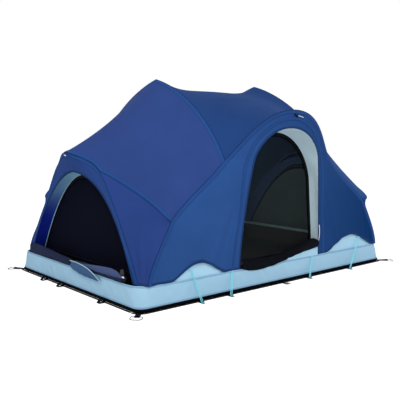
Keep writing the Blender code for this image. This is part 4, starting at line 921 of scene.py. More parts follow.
@dataclass
class Cover:
    """Outer cover: roof, corner, side and hood panels with their sleeves, hems and bindings."""

    seams: Seams
    cloth: float = 0.0016
    binding: float = 0.0019
    roof_fullness: float = 0.205
    end_roof_fullness: float = 0.600
    panels: dict[str, Panel] = field(default_factory=dict)

    def __post_init__(self) -> None:
        """Cut and fold the panels."""
        self.cut()
        self.share_normals()
        for panel in self.panels.values():
            panel.fold()
        self.share_normals()

    def add(self, name: str, grid: Array, stuff: Stuff, slot: str, creases: str, **more: object) -> None:
        """Take one panel."""
        self.panels[name] = Panel(name, grid, stuff, slot, CREASES[creases], **more)

    def cut(self) -> None:
        """Lay out every panel between its seams."""
        s = self.seams
        top = spanned(s.hood, (-1, -1), (1, -1))
        arch = {sx: spanned(s.arch[::-1], (sx, -1), (sx, 1)) for sx in (-1, 1)}
        roof = stretched(top, flipped(top, 1, -1), arch[-1], arch[1], self.roof_fullness)
        self.add("roof_middle", roof, Stuff.ROOF_MID, "cover_dark_blue", "middle")
        for end, sx in ENDS.items():
            outer = spanned(joined(s.peak, s.slope)[::-1], (sx, -1), (sx, 1))
            near, far = (flipped(s.upper, sx, sy) for sy in (-1, 1))
            self.add(f"roof_{end}", stretched(near, far, arch[sx], outer, self.end_roof_fullness),
                     Stuff.ROOF_END, "cover_violet_blue", "roof")
            rim = spanned(joined(s.peak, s.foot)[::-1], (sx, -1), (sx, 1))
            edge = spanned(s.window, (sx, -1), (sx, 1))
            rails = [straight(rim[k], edge[k], 3 * FINE) for k in (0, -1)]
            self.add(f"end_hood_{end}", blended(rim, edge, *rails), Stuff.END_HOOD, "cover_violet_blue",
                     "end_hood", back=Stuff.PAINTED_GLOW)
            for side, sy in SIDES.items():
                sole = straight(s.end_leg, s.side_leg, 5 * FINE)
                corner = stretched(*(flipped(run, sx, sy) for run in (s.slope, sole, s.foot, s.leg)))
                self.add(f"corner_{side}_{end}", corner, Stuff.CORNER, "cover_violet_blue", "corner")
                panel = stretched(flipped(s.join, sx, sy), s.side_hem(sx, sy),
                                  flipped(joined(s.upper, s.leg), sx, sy), flipped(s.door_leg, sx, sy))
                self.add(f"side_panel_{side}_{end}", panel, Stuff.SIDE, "cover_mid_blue", "side", free=0.0025)
        for side, sy in SIDES.items():
            hood = blended(*(spanned(run, (-1, sy), (1, sy)) for run in (s.hood, s.door_arch)),
                           *(flipped(s.join, sx, sy) for sx in (-1, 1)))
            self.add(f"door_hood_{side}", hood, Stuff.SIDE, "cover_mid_blue", "door_hood")

    def share_normals(self) -> None:
        """Give points on a seam the mean normal of the panels that meet there."""
        panels = list(self.panels.values())
        keys = np.round(np.concatenate([panel.grid.reshape(-1, 3) for panel in panels]), 5)
        _, where = np.unique(keys, axis=0, return_inverse=True)
        where = where.ravel()
        total = np.zeros((where.max() + 1, 3))
        np.add.at(total, where, np.concatenate([outward_normals(p.grid).reshape(-1, 3) for p in panels]))
        shared, start = unit(total)[where], 0
        for panel in panels:
            size = panel.grid.size // 3
            panel.normals = shared[start:start + size].reshape(panel.grid.shape)
            start += size

    def surface_at(self, places: Array, sy: int) -> tuple[Array, Array]:
        """The cover's outer face over places seen from one side.

        Args:
            places: X and Z of each place.
            sy: the side, -1 or 1.

        Returns:
            Points and normals, from the tangent plane at the nearest point of the grids.
        """
        panels = [p for n, p in self.panels.items() if n.startswith(("side_panel", "door_hood"))
                  and p.grid[0, 0, 1] * sy > 0]
        points = np.concatenate([panel.grid.reshape(-1, 3) for panel in panels])
        normals = np.concatenate([panel.normals.reshape(-1, 3) for panel in panels])
        near = ((places[:, None] - points[None][:, :, [0, 2]]) ** 2).sum(axis=2).argmin(axis=1)
        p, n = points[near], normals[near]
        dx, dz = places[:, 0] - p[:, 0], places[:, 1] - p[:, 2]
        steep = np.where(np.abs(n[:, 1]) < 0.2, 1e9, n[:, 1])
        slope = np.clip(-(n[:, 0] * dx + n[:, 2] * dz) / steep, -0.02, 0.02)
        return np.c_[places[:, 0], p[:, 1] + slope, places[:, 1]] + n * self.cloth / 2, n

    def side_tape(self, line: Array, sy: int, width: float, height: float) -> Patchwork:
        """Tape laid over the side panels along a line given by X and Z."""
        tangent = unit(np.gradient(line, axis=0))
        across = np.c_[-tangent[:, 1], tangent[:, 0]]
        over, under = [], []
        for s in np.linspace(-1, 1, 9):
            point, normal = self.surface_at(line + across * width * s / 2, sy)
            over.append(point + normal * (height * (1 - s ** 4) + 0.0006))
            under.append(point - normal * 0.0012)
        return Patchwork().shell(np.stack(over), np.stack(under))

    def build(self) -> None:
        """Sew the panels, then the sleeves over the poles, the hems, the bindings and the tags."""
        for name, panel in self.panels.items():
            half = panel.normals * self.cloth / 2
            work = Patchwork().shell(panel.grid + half, panel.grid - half, inner_slot=1)
            piece = put(f"{name}_cloth", work, panel.stuff, panel.back, instead=name, slot=panel.slot)
        self.trims()
        self.door_hoops()
        self.tags()

    def sew(self, piece: str, panel_name: str, edge: str, trim: tuple | None) -> None:
        """A sleeve or hem beside an edge of a panel, or a round dark binding in its seam that also paints the seam's
        shade.
        """
        panel = self.panels[panel_name]
        if trim:
            stuff, *sizes = trim
            put(piece, panel.tape(edge, *sizes), stuff, slot=panel.slot)
            return
        line = panel.lines_from(edge)[0]
        rings = rings_along(line[:, :3] + line[:, 3:] * 0.0006, self.binding, 8, (0.13, 0.29, 0.95))
        put(piece, Patchwork().tube(rings), Stuff.PIPING, slot="cover_dark_blue")

    def trims(self) -> None:
        """Pole sleeves beside the seams, a dark binding in each seam that also paints the seam's shade, and taped
        hems.
        """
        for end in ENDS:
            roof, hood = f"roof_{end}", f"end_hood_{end}"
            for piece, panel, edge, trim in (
                    ("arch_sleeve", roof, "left", SLEEVE), ("end_sleeve", roof, "right", SLEEVE),
                    ("end_hoop_sleeve", hood, "top", SLEEVE), ("window_edge", hood, "bottom", WINDOW_HEM),
                    ("arch_binding", roof, "left", BINDING), ("end_binding", roof, "right", BINDING),
                    ("end_hoop_binding", hood, "top", BINDING)):
                self.sew(f"{piece}_{end}", panel, edge, trim)
            for side in SIDES:
                for piece, panel, edge, trim in (
                        ("side_sleeve", "side_panel", "left", SLEEVE), ("side_hem", "side_panel", "bottom", HEM),
                        ("door_edge", "side_panel", "right", DOOR_HEM),
                        ("side_binding", "side_panel", "left", BINDING), ("corner_hem", "corner", "bottom", HEM)):
                    self.sew(f"{piece}_{side}_{end}", f"{panel}_{side}_{end}", edge, trim)
        for side in SIDES:
            for piece, edge, trim in (("hoop_sleeve", "top", SLEEVE), ("door_edge_top", "bottom", DOOR_HEM),
                                      ("hoop_binding", "top", BINDING)):
                self.sew(f"{piece}_{side}", f"door_hood_{side}", edge, trim)

    def door_hoops(self) -> None:
        """The taped line that runs round each door, a hand's width outside its edge."""
        half = [(0.462, 0.158), (0.446, 0.317), (0.421, 0.478), (0.410, 0.606), (0.398, 0.747),
                (0.377, 0.850), (0.304, 0.992), (0.189, 1.085), (0.080, 1.126), (0.0, 1.135)]
        line = smooth_line([(-x, z) for x, z in half] + half[-2::-1], 220)
        for side, sy in SIDES.items():
            put(f"door_hoop_tape_{side}", self.side_tape(line, sy, 0.024, 0.0030), Stuff.SLEEVE,
                slot="cover_mid_blue")

    def tags(self) -> None:
        """White pull tags on the hoods, the peaks and the door edges, and by each hood's tag a dark strip of painted
        crease shade.
        """
        for side, sy in SIDES.items():
            place = np.array([[-0.040, 1.156], [-0.098, 1.144], [0.004, 1.164], [-0.036, 1.148],
                              [-0.396, 0.372], [-0.400, 0.255]])
            points, normals = self.surface_at(place * (sy, 1), sy)
            # The dark strip by each hood's tag is painted shade of a crease, in the near-black door roll cloth.
            for k, (name, width, stuff) in enumerate((("hood_tag", 0.0024, Stuff.TAG),
                                                      ("hood_crease_shade", 0.005, Stuff.ROLL),
                                                      ("door_edge_tag", 0.0034, Stuff.TAG))):
                self.tag(f"{name}_{side}", points[2 * k], points[2 * k + 1], normals[2 * k], width, stuff)
        for end, sx in ENDS.items():
            peak, side = np.array([sx * 1.233, 0.0, 0.893]), np.array([0.0, sx * 0.012, -0.004])
            self.tag(f"peak_tag_{end}", peak - side, peak + side, np.array([sx * 0.9, 0.0, -0.3]), 0.0045,
                     Stuff.TAG)

    def tag(self, name: str, start: Array, end: Array, normal: Array, width: float, stuff: Stuff) -> None:
        """A folded loop of tape that stands off the cloth."""
        t = np.linspace(0, 1, 13)[:, None]
        out = unit(normal)
        path = start * (1 - t) + end * t + out * 0.006 * np.sin(t * math.pi) + out * 0.002
        across = unit(np.cross(end - start, normal)) * width
        rails = np.stack([path - across, path, path + across])
        put(name, Patchwork().shell(rails + out * 0.0005, rails - out * 0.0005), stuff, slot="lining")


# ---------------------------------------------------------------- inner tent


def closed_outline(half: Array) -> Array:
    """Closed outline of a right half that runs from its foot to its top."""
    return np.vstack([half, (half * (-1, 1))[::-1][1:], half[:1]])


@dataclass
class Wall:
    """One inner wall with its net, its zip tapes and its sill, in its own upright plane."""

    node: str
    net_node: str
    across_y: bool
    sign: int
    plane: float
    outline: Array
    opening: Callable[[float], Array]
    cloth: float = 0.0016
    lap: float = 0.015
    net_depth: float = -0.0034
    centre: tuple[float, float] = (0.0, 0.45)

    @property
    def outward(self) -> Array:
        """Direction out of the cabin."""
        return np.array([self.sign, 0.0, 0.0] if self.across_y else [0.0, self.sign, 0.0])

    def stood(self, flat: Array, depth: float) -> Array:
        """Points of the wall's plane stood up, a depth outside its middle."""
        away, u, z = self.sign * (self.plane + depth), flat[..., 0], flat[..., 1]
        return xyz(away, u, z) if self.across_y else xyz(u, away, z)

    def angles(self, *outlines: Array) -> Array:
        """Even angles, with those of the outlines' corners."""
        corners = np.concatenate([np.arctan2(*(o - self.centre)[:, ::-1].T) for o in outlines])
        return np.unique(np.round(np.r_[np.linspace(-math.pi, math.pi, 180, endpoint=False), corners], 4))[:-1]

    def rays(self, outline: Array, angles: Array) -> Array:
        """Points where rays from the centre meet a closed outline, by its radius over the angle."""
        dense = resampled(outline, 2400) - self.centre
        radius = np.interp(angles, np.arctan2(dense[:, 1], dense[:, 0]), np.linalg.norm(dense, axis=1), period=TAU)
        return self.centre + radius[:, None] * np.stack([np.cos(angles), np.sin(angles)], axis=1)

    def sheet(self, rings: Array, depth: float, thickness: float, puff: float | None = None) -> Patchwork:
        """Flat closed sheet of rings round the centre, with its cloth coordinates in its own plane.

        Args:
            rings: rings by angles by two, from the inside out.
            depth: place of its middle outside the wall's middle.
            thickness: its thickness.
            puff: how far its middle stands out if it is filled to the centre, or None if it is open.

        Returns:
            The sheet, its outer face in the first finish and its inner face in the second.
        """
        work, faces = Patchwork(), []
        for away, back in ((depth + thickness / 2, False), (depth - thickness / 2, True)):
            grid, uv = self.stood(rings, away), rings
            if puff is not None:
                middle = work.take(self.stood(np.array(self.centre), away + puff))
                bell = 1 - np.linspace(0, 1, len(rings) + 1)[1:] ** 2
                grid = grid + self.outward * (bell * puff)[:, None, None]
                uv = np.concatenate([np.broadcast_to(self.centre, (1, *rings.shape[1:])), rings])
            index = work.take(grid)
            if puff is not None:
                index = np.vstack([np.full(index.shape[1], middle), index])
            index, uv = np.hstack([index, index[:, :1]]), np.concatenate([uv, uv[:, :1]], axis=1)
            work.quads(index, uv, back, int(back))
            faces.append(index)
        work.rim(faces[1][-1], faces[0][-1])
        if puff is None:
            work.rim(faces[0][0], faces[1][0])
        return work

    def tape(self, inner: float, outer: float, depth: float, thickness: float) -> Patchwork:
        """Tape round the opening between two margins, open at the sill."""
        rails = []
        for s in np.linspace(0, 1, 5):
            right = self.opening(inner + (outer - inner) * s)
            rails.append(resampled(joined(right, (right * (-1, 1))[::-1]), 190))
        grid = self.stood(np.stack(rails), depth)
        crown = (1 - np.linspace(-1, 1, 5) ** 4)[:, None, None] * self.outward * thickness * 0.4
        half = self.outward * thickness / 2
        return Patchwork().shell(grid + half + crown, grid - half)

    def bar(self, start: float, end: float, low: float, high: float, depth: float, thickness: float) -> Patchwork:
        """Flat tape along the sill."""
        flat = np.stack(np.meshgrid(np.linspace(start, end, 60), np.linspace(low, high, 5)), axis=-1)
        grid, half = self.stood(flat, depth), self.outward * thickness / 2
        return Patchwork().shell(grid + half, grid - half)

    def build(self) -> None:
        """Wall, net, binding, sills, zip tapes and the pale tapes beside the sill."""
        hole = closed_outline(self.opening(0.0))
        angles = self.angles(self.outline, hole)
        inner, outer = self.rays(hole, angles), self.rays(self.outline, angles)
        s = np.linspace(0, 1, 7)[:, None, None]
        # The wall's outer face takes the near-black tub cloth: painted shade of the dark gap under the cover.
        wall = put(f"{self.node}_cloth", self.sheet((1 - s) * inner + s * outer, 0.0, self.cloth),
                   Stuff.TUB, Stuff.INNER, instead=self.node, slot="inner_cloth")
        self.net()
        foot = self.opening(self.lap)[0]
        inside = -self.cloth / 2 - 0.0008
        for mark, work in (("zip", self.tape(-0.001, 0.021, self.cloth / 2 + 0.0007, 0.0009)),
                           ("zip_inside", self.tape(self.lap + 0.0015, self.lap + 0.024, inside, 0.0010))):
            put(f"{self.net_node}_{mark}", work, Stuff.ZIP, slot="inner_cloth")
        reach = np.interp(0.19, self.outline[:2, 1], self.outline[:2, 0])
        for mark, sign in (("left", -1), ("right", 1)):
            ends = sorted((sign * (foot[0] + 0.001), sign * (reach - 0.006)))
            put(f"{self.node}_tub_tape_{mark}", self.bar(*ends, foot[1] + 0.001, foot[1] + 0.019, inside, 0.0012),
                Stuff.SILL, slot="inner_cloth")

    def net(self) -> None:
        """The net with its bound edge and its sill, which swing as one."""
        line = closed_outline(self.opening(self.lap - 0.0004))
        edge = self.rays(line, self.angles(line))
        rings = self.centre + (edge - self.centre) * np.linspace(0, 1, 15)[1:, None, None]
        stuffs = (Stuff.WINDOW_NET, Stuff.LIT_INSIDE_NET) if self.across_y else (Stuff.NET, Stuff.NET)
        net = put(f"{self.net_node}_net", self.sheet(rings, self.net_depth, 0.0006, -0.004), *stuffs,
                  body=self.net_node, instead=self.net_node, slot="mesh_net")
        binding = put(f"{self.net_node}_binding", self.tape(-0.006, self.lap - 0.0006, self.net_depth, 0.0016),
                      Stuff.TUB, body=self.net_node, slot="inner_cloth")
        foot = self.opening(self.lap)[0]
        bar = self.bar(-foot[0] + 0.004, foot[0] - 0.004, foot[1] + 0.0008, foot[1] + 0.024,
                       self.net_depth - 0.0016, 0.0020)
        sill = put(f"{self.net_node}_sill", bar, Stuff.SILL if self.across_y else Stuff.TUB,
                   body=self.net_node, slot="inner_cloth")


@dataclass
class InnerTent:
    """Cabin of the tent: four walls with nets, and the sewn floor."""

    seams: Seams
    side_y: float = CABIN_Y
    end_x: float = CABIN_X
    sill: float = SILL_Z
    low: float = 0.0224
    slack: float = 0.0019
    sheet_radius: float = 0.040

    def door(self, margin: float) -> Array:
        """Right half of the door opening, larger by a margin."""
        knee = np.array([DOOR_KNEE_X + margin, DOOR_KNEE_Z])
        top = 1.020 + margin
        halfway = DOOR_KNEE_Z + (top - DOOR_KNEE_Z) * 0.50
        curve = cubic(knee, (knee[0] * 0.93, halfway), (knee[0] * 0.55, top), (0, top), 32)
        return joined(straight((DOOR_FOOT_X + margin, self.sill - margin), knee, 20), curve)

    def window(self, margin: float) -> Array:
        """Right half of the window opening, larger by a margin."""
        foot, top = (0.600 + margin, self.sill - margin), (0.0, 0.735 + margin)
        return cubic(foot, moved(foot, -0.11, 0.21), moved(top, 0.27, 0), top, 48)

    def side_half(self) -> Array:
        """Right half of a side wall's outline, from the foot to the top, inside the cover's seams."""
        s, edge = self.seams, self.end_x - self.slack
        start, top = (s.crossing[0] - 0.012, s.crossing[2] - 0.045), (0.0, s.hood_top[2] - 0.075)
        lower = np.array([(edge, self.low), (edge - 0.012, 0.22), (edge - 0.052, 0.35),
                          (s.shoulder[0] - 0.052, s.shoulder[2] - 0.012), start])
        return joined(lower, cubic(start, moved(start, -0.12, 0.115), moved(top, 0.22, 0), top, 30))

    def end_half(self) -> Array:
        """Right half of an end wall's outline, from the foot to the top."""
        edge = self.side_y - self.slack
        start, top = (edge - 0.035, 0.32), (0.0, self.seams.end_peak[2] - 0.075)
        return joined(np.array([(edge, self.low), (edge, 0.1804), start]),
                      cubic(start, moved(start, -0.09, 0.21), moved(top, 0.30, -0.01), top, 36))

    def build(self) -> None:
        """Walls and nets, then the floor."""
        for side, sy in SIDES.items():
            Wall(f"inner_wall_{side}", f"mesh_door_{side}", False, sy, self.side_y,
                 closed_outline(self.side_half()), self.door).build()
        for end, sx in ENDS.items():
            Wall(f"inner_end_{end}", f"mesh_window_{end}", True, sx, self.end_x,
                 closed_outline(self.end_half()), self.window).build()
        self.floor()

    def floor(self) -> None:
        """Sewn floor: a flat sheet with soft waves."""
        outline = rounded(self.end_x - self.slack - 0.001, self.side_y - self.slack - 0.001,
                          self.sheet_radius, 240)
        s = np.linspace(0, 1, 21)[:, None, None]
        flat = outline[None] * np.maximum(s, 0.02)
        wave = 0.0012 + 0.0011 * np.sin(flat[..., 0] * 17 + np.sin(flat[..., 1] * 9)) * np.cos(flat[..., 1] * 13)
        wave *= (1 - s[..., 0] ** 6)
        work = Patchwork().disc(raised(flat, self.low + 0.0016 + wave)[::-1], raised(flat, self.low)[::-1])
        sheet = put("floor_sheet_cloth", work, Stuff.SHEET, instead="floor_sheet", slot="floor_sheet")


# ---------------------------------------------------------------- linings and rolls


@dataclass
class Linings:
    """Grey linings of the door hoods and teal linings of the window hoods."""

    cover: Cover
    inner: InnerTent
    margin: float = 0.024
    gap: float = 0.0019
    thickness: float = 0.0018
    count: int = 220
    columns: int = 15

    def outer_edge(self, inset: float, *edges: tuple[str, str]) -> Array:
        """Edge of an opening in the cover, moved under the cloth; "up" is a right edge run upwards."""
        runs = []
        for name, edge in edges:
            line = self.cover.panels[name].lines_from("right" if edge == "up" else edge)[0]
            run = line[:, :3] - line[:, 3:] * inset
            runs.append(run[::-1] if edge == "up" else run)
        return resampled(joined(*runs), self.count)

    def inner_edge(self, half: Array) -> Array:
        """Places along an opening of the inner tent, left foot to right foot."""
        return resampled(joined(half * (-1, 1), half[::-1]), self.count)

    def sheet(self, outer: Array, inner: Array, sag: float, ripple: float) -> tuple[Patchwork, Array]:
        """Cloth between two edges: straight across, with a soft belly and small ripples."""
        s = np.linspace(0, 1, self.columns)[:, None, None]
        grid = (1 - s) * outer + s * inner
        centre = grid.mean(axis=(0, 1)) - (0, 0, 0.15)
        t = np.linspace(0, 1, self.count)[None, :, None]
        belly = np.sin(s * math.pi) * (sag + ripple * np.sin(t * 46 + 3 * np.sin(t * 11) + s * 2))
        grid = grid + outward_normals(grid, centre) * belly
        return Patchwork().shell(grid + outward_normals(grid, centre) * self.thickness, grid), grid

    def build(self) -> None:
        """Make the four linings, with a pale edge round the windows'."""
        for side, sy in SIDES.items():
            edge = self.outer_edge(0.0026, (f"side_panel_{side}_left", "up"), (f"door_hood_{side}", "bottom"),
                                   (f"side_panel_{side}_right", "right"))
            half = self.inner.door(self.margin)
            half = half[half[:, 1] > 0.150]
            foot = 0.1508
            arch = self.inner_edge(np.vstack([(np.interp(foot, half[:3, 1], half[:3, 0]), foot), half]))
            work, grid = self.sheet(edge, xyz(arch[:, 0], sy * (CABIN_Y + self.gap), arch[:, 1]), 0.006, 0.0022)
            put(f"door_lining_{side}_cloth", work, Stuff.LINING,
                             instead=f"door_lining_{side}", slot="lining")
        for end, sx in ENDS.items():
            edge = self.outer_edge(0.0024, (f"end_hood_{end}", "bottom"))
            half = self.inner.window(self.margin)
            arch = self.inner_edge(half[half[:, 1] > 0.152])
            inner = xyz(sx * (CABIN_X + self.gap), arch[:, 0], arch[:, 1])
            if np.sum((inner[0] - edge[0]) ** 2) > np.sum((inner[-1] - edge[0]) ** 2):
                inner = inner[::-1]
            work, grid = self.sheet(edge, inner, 0.004, 0.0018)
            put(f"window_lining_{end}", work, Stuff.END_LINING, slot="lining")
            piping = rings_along(grid[-1] + (sx * 0.0032, 0, 0), 0.0024, 8, (1.0, 0.1, 0.0))
            put(f"window_lining_{end}_piping", Patchwork().tube(piping), Stuff.LEAF_EDGE, slot="lining")


@dataclass
class Roll:
    """One rolled panel on its sill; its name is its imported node's."""

    name: str
    path: Array
    radius: Array
    flat: Array | float
    tie: float
    stuff: Stuff
    turns: float = 4.0
    sides: int = 40

    def rings(self) -> Array:
        """Oval sections with long folds that gather at the tie."""
        t = np.linspace(0, 1, len(self.path))[:, None]
        angle = (np.arange(self.sides) / self.sides * TAU)[None]
        pinch = np.exp(-((t - self.tie) / 0.030) ** 2)
        gather = np.exp(-((t - self.tie) / 0.16) ** 2)
        folds = (0.035 * np.sin(3 * angle + 7 * t) + 0.030 * np.sin(2 * angle - 23 * t)
                 + 0.085 * gather * np.cos(9 * angle + 4 * np.sin(11 * t))
                 + 0.025 * np.sin(angle * 5 + 41 * t + 2 * np.sin(9 * t)))
        scale = self.radius[:, None] * (1 + 1.4 * folds - 0.20 * pinch)
        tangent = unit(np.gradient(self.path, axis=0))
        across = unit(np.cross(tangent, [0.0, 0.0, 1.0]))
        up = np.cross(across, tangent)
        return (self.path[:, None] + scale[..., None] * (self.flat * np.cos(angle)[..., None] * across[:, None]
                                                         + np.sin(angle)[..., None] * up[:, None]))

    def build(self) -> None:
        """The roll, its wound ends and its tie."""
        rings = self.rings()
        put(f"{self.name}_cloth", Patchwork().tube(rings), self.stuff, instead=self.name, slot="rolled_panel")
        for mark, at, ahead in (("a", 0, rings[0] - rings[1]), ("b", -1, rings[-1] - rings[-2])):
            self.wound(f"{self.name}_end_{mark}", rings[at], unit(ahead.mean(axis=0)))
        self.band(rings)

    def wound(self, name: str, ring: Array, outward: Array) -> None:
        """Layers that show at an end: a flat spiral strip that shrinks inwards turn by turn."""
        turn = np.linspace(0, self.turns * TAU, int(self.turns * 24))
        places = turn / TAU * self.sides
        low = np.floor(places).astype(int)
        share = (places - low)[:, None]
        rim = ring[low % self.sides] * (1 - share) + ring[(low + 1) % self.sides] * share
        centre = ring.mean(axis=0)
        line = centre + (rim - centre) * (0.93 - 0.80 * turn / turn[-1])[:, None]
        side = unit(rim - centre) * 0.0011
        inner, outer = line - outward * 0.003, line + outward * 0.0022
        work = Patchwork().shell(np.stack([inner + side, outer + side]), np.stack([inner - side, outer - side]))
        put(name, work, Stuff.ROLL_END, slot="rolled_panel")

    def band(self, rings: Array) -> None:
        """Tape tied round the roll, over its waist."""
        middle = int(self.tie * (len(rings) - 1))
        ahead = unit(self.path[middle + 1] - self.path[middle - 1])
        out = unit(rings[middle] - self.path[middle])
        s = np.linspace(-1, 1, 7)[:, None, None]
        loop = rings[middle] + ahead * s * 0.010
        work = Patchwork().shell(loop + out * (0.0016 + 0.0010 * (1 - s ** 4)), loop - out * 0.002, around=True)
        put(f"{self.name}_tie", work, Stuff.TIE, slot="webbing")


DOOR_ROLL_LOW = ((-0.390, 0.156), (-0.310, 0.146), (-0.200, 0.140), (-0.060, 0.142), (0.080, 0.163),
                 (0.240, 0.187), (0.385, 0.205))
DOOR_ROLL_HIGH = ((-0.390, 0.210), (-0.310, 0.206), (-0.200, 0.194), (-0.060, 0.192), (0.080, 0.216),
                  (0.240, 0.256), (0.385, 0.272))
WINDOW_ROLL_X = 1.190
WINDOW_ROLL_GIRTH = ((-1.0, 0.042), (-0.8, 0.036), (-0.6, 0.030), (-0.3, 0.025), (0.0, 0.0195),
                     (0.3, 0.0225), (1.0, 0.019))
WINDOW_FLAPS = (
    ("leaf", 0.0270, Stuff.LEAF, ((-0.030, 0.193), (-0.130, 0.190), (-0.250, 0.172), (-0.390, 0.124),
                                  (-0.250, 0.120), (-0.134, 0.126), (-0.010, 0.152))),
    ("fold", 0.0215, Stuff.FOLD, ((-0.110, 0.190), (-0.320, 0.212), (-0.520, 0.224), (-0.600, 0.204),
                                  (-0.640, 0.184), (-0.420, 0.176), (-0.250, 0.180))),
    ("patch", 0.0200, Stuff.ROLL_END, ((-0.600, 0.206), (-0.612, 0.232), (-0.634, 0.238), (-0.640, 0.205))),
    ("spot", 0.0262, Stuff.TAG, ((-0.628, 0.194), (-0.640, 0.199), (-0.655, 0.193), (-0.645, 0.187))))
FLAP_PIPING = ((-0.012, 0.194), (-0.110, 0.194), (-0.230, 0.180), (-0.320, 0.152), (-0.392, 0.120))


class Rolls:
    """Door and window panels, rolled down on their sills and tied."""

    def build(self) -> None:
        """All four rolls, with the doors' loose edges and the windows' turned corners."""
        low, high = smooth_line(DOOR_ROLL_LOW, 160), smooth_line(DOOR_ROLL_HIGH, 160)
        x, low, high = low[:, 0], low[:, 1], np.interp(low[:, 0], high[:, 0], high[:, 1])
        for side, sy in SIDES.items():
            path = xyz(-sy * x, sy * 0.7640, (low + high) / 2)
            Roll(f"door_roll_{side}", path, (high - low) / 2, 1.05, 0.52, Stuff.ROLL).build()
            self.apron(side, sy, x, high * 0.35 + low * 0.65)
        for end, sx in ENDS.items():
            t = np.linspace(-1, 1, 160)
            radius = np.interp(t, *zip(*WINDOW_ROLL_GIRTH)) * (1 + 0.05 * np.sin(t * 9))
            path = xyz(sx * WINDOW_ROLL_X, sx * t * 0.610, 0.150 + radius * 1.04 + 0.0006)
            flat = np.clip(0.0225 / radius, 0.5, 1.0)[:, None, None]
            Roll(f"window_roll_{end}", path, radius, flat, 0.50, Stuff.WINDOW_ROLL, 3.0).build()
            self.flaps(end, sx)

    def apron(self, side: str, sy: int, places: Array, height: Array) -> None:
        """Loose lower edge of the door panel, hung over the band from under the roll."""
        x = np.linspace(-0.385, 0.06, 90)
        top = np.interp(x, places, height)
        drop = np.interp(x, [-0.385, -0.33, -0.24, -0.10, 0.06], [0.150, 0.133, 0.123, 0.133, 0.160])
        s = np.linspace(0, 1, 10)[:, None]
        y = 0.7900 + 0.0022 * np.sin(x * 60)[None] * s - 0.004 * s ** 2
        grid = xyz(-sy * x, sy * y, top * (1 - s) + drop * s)
        out = np.array([0.0, sy * 0.0009, 0.0])
        put(f"door_roll_{side}_edge", Patchwork().shell(grid + out, grid - out), Stuff.ROLL, slot="rolled_panel")

    def flaps(self, end: str, sx: int) -> None:
        """Turned-back corners of the window panel that lie on the roll."""
        s = np.linspace(0, 1, 9)[1:, None, None]
        out = np.array([sx * 0.0010, 0.0, 0.0])
        for name, depth, stuff, points in WINDOW_FLAPS:
            outline = smooth_line([*points, points[0]], 73)[:-1]
            centre = outline.mean(axis=0)
            flat = centre + (outline - centre) * s
            bulge = depth + 0.005 * np.sin((1 - s[..., 0]) * math.pi / 2) + 0.002 * np.sin(flat[..., 0] * 90)
            grid = xyz(sx * (WINDOW_ROLL_X + bulge), -sx * flat[..., 0], flat[..., 1])[::-1]
            put(f"window_roll_{end}_{name}", Patchwork().disc(grid + out, grid - out), stuff, slot="rolled_panel")
        line = smooth_line(FLAP_PIPING, 60)
        rings = rings_along(xyz(sx * 1.2195, -sx * line[:, 0], line[:, 1]), 0.0034, 8, (1.0, 0.1, 0.0))
        put(f"window_roll_{end}_piping", Patchwork().tube(rings), Stuff.LEAF_EDGE, slot="rolled_panel")


# ---------------------------------------------------------------- base


BAND_DIP = ((-0.420, 0.0), (-0.310, -0.006), (-0.200, -0.012), (-0.060, -0.010), (0.040, 0.0))


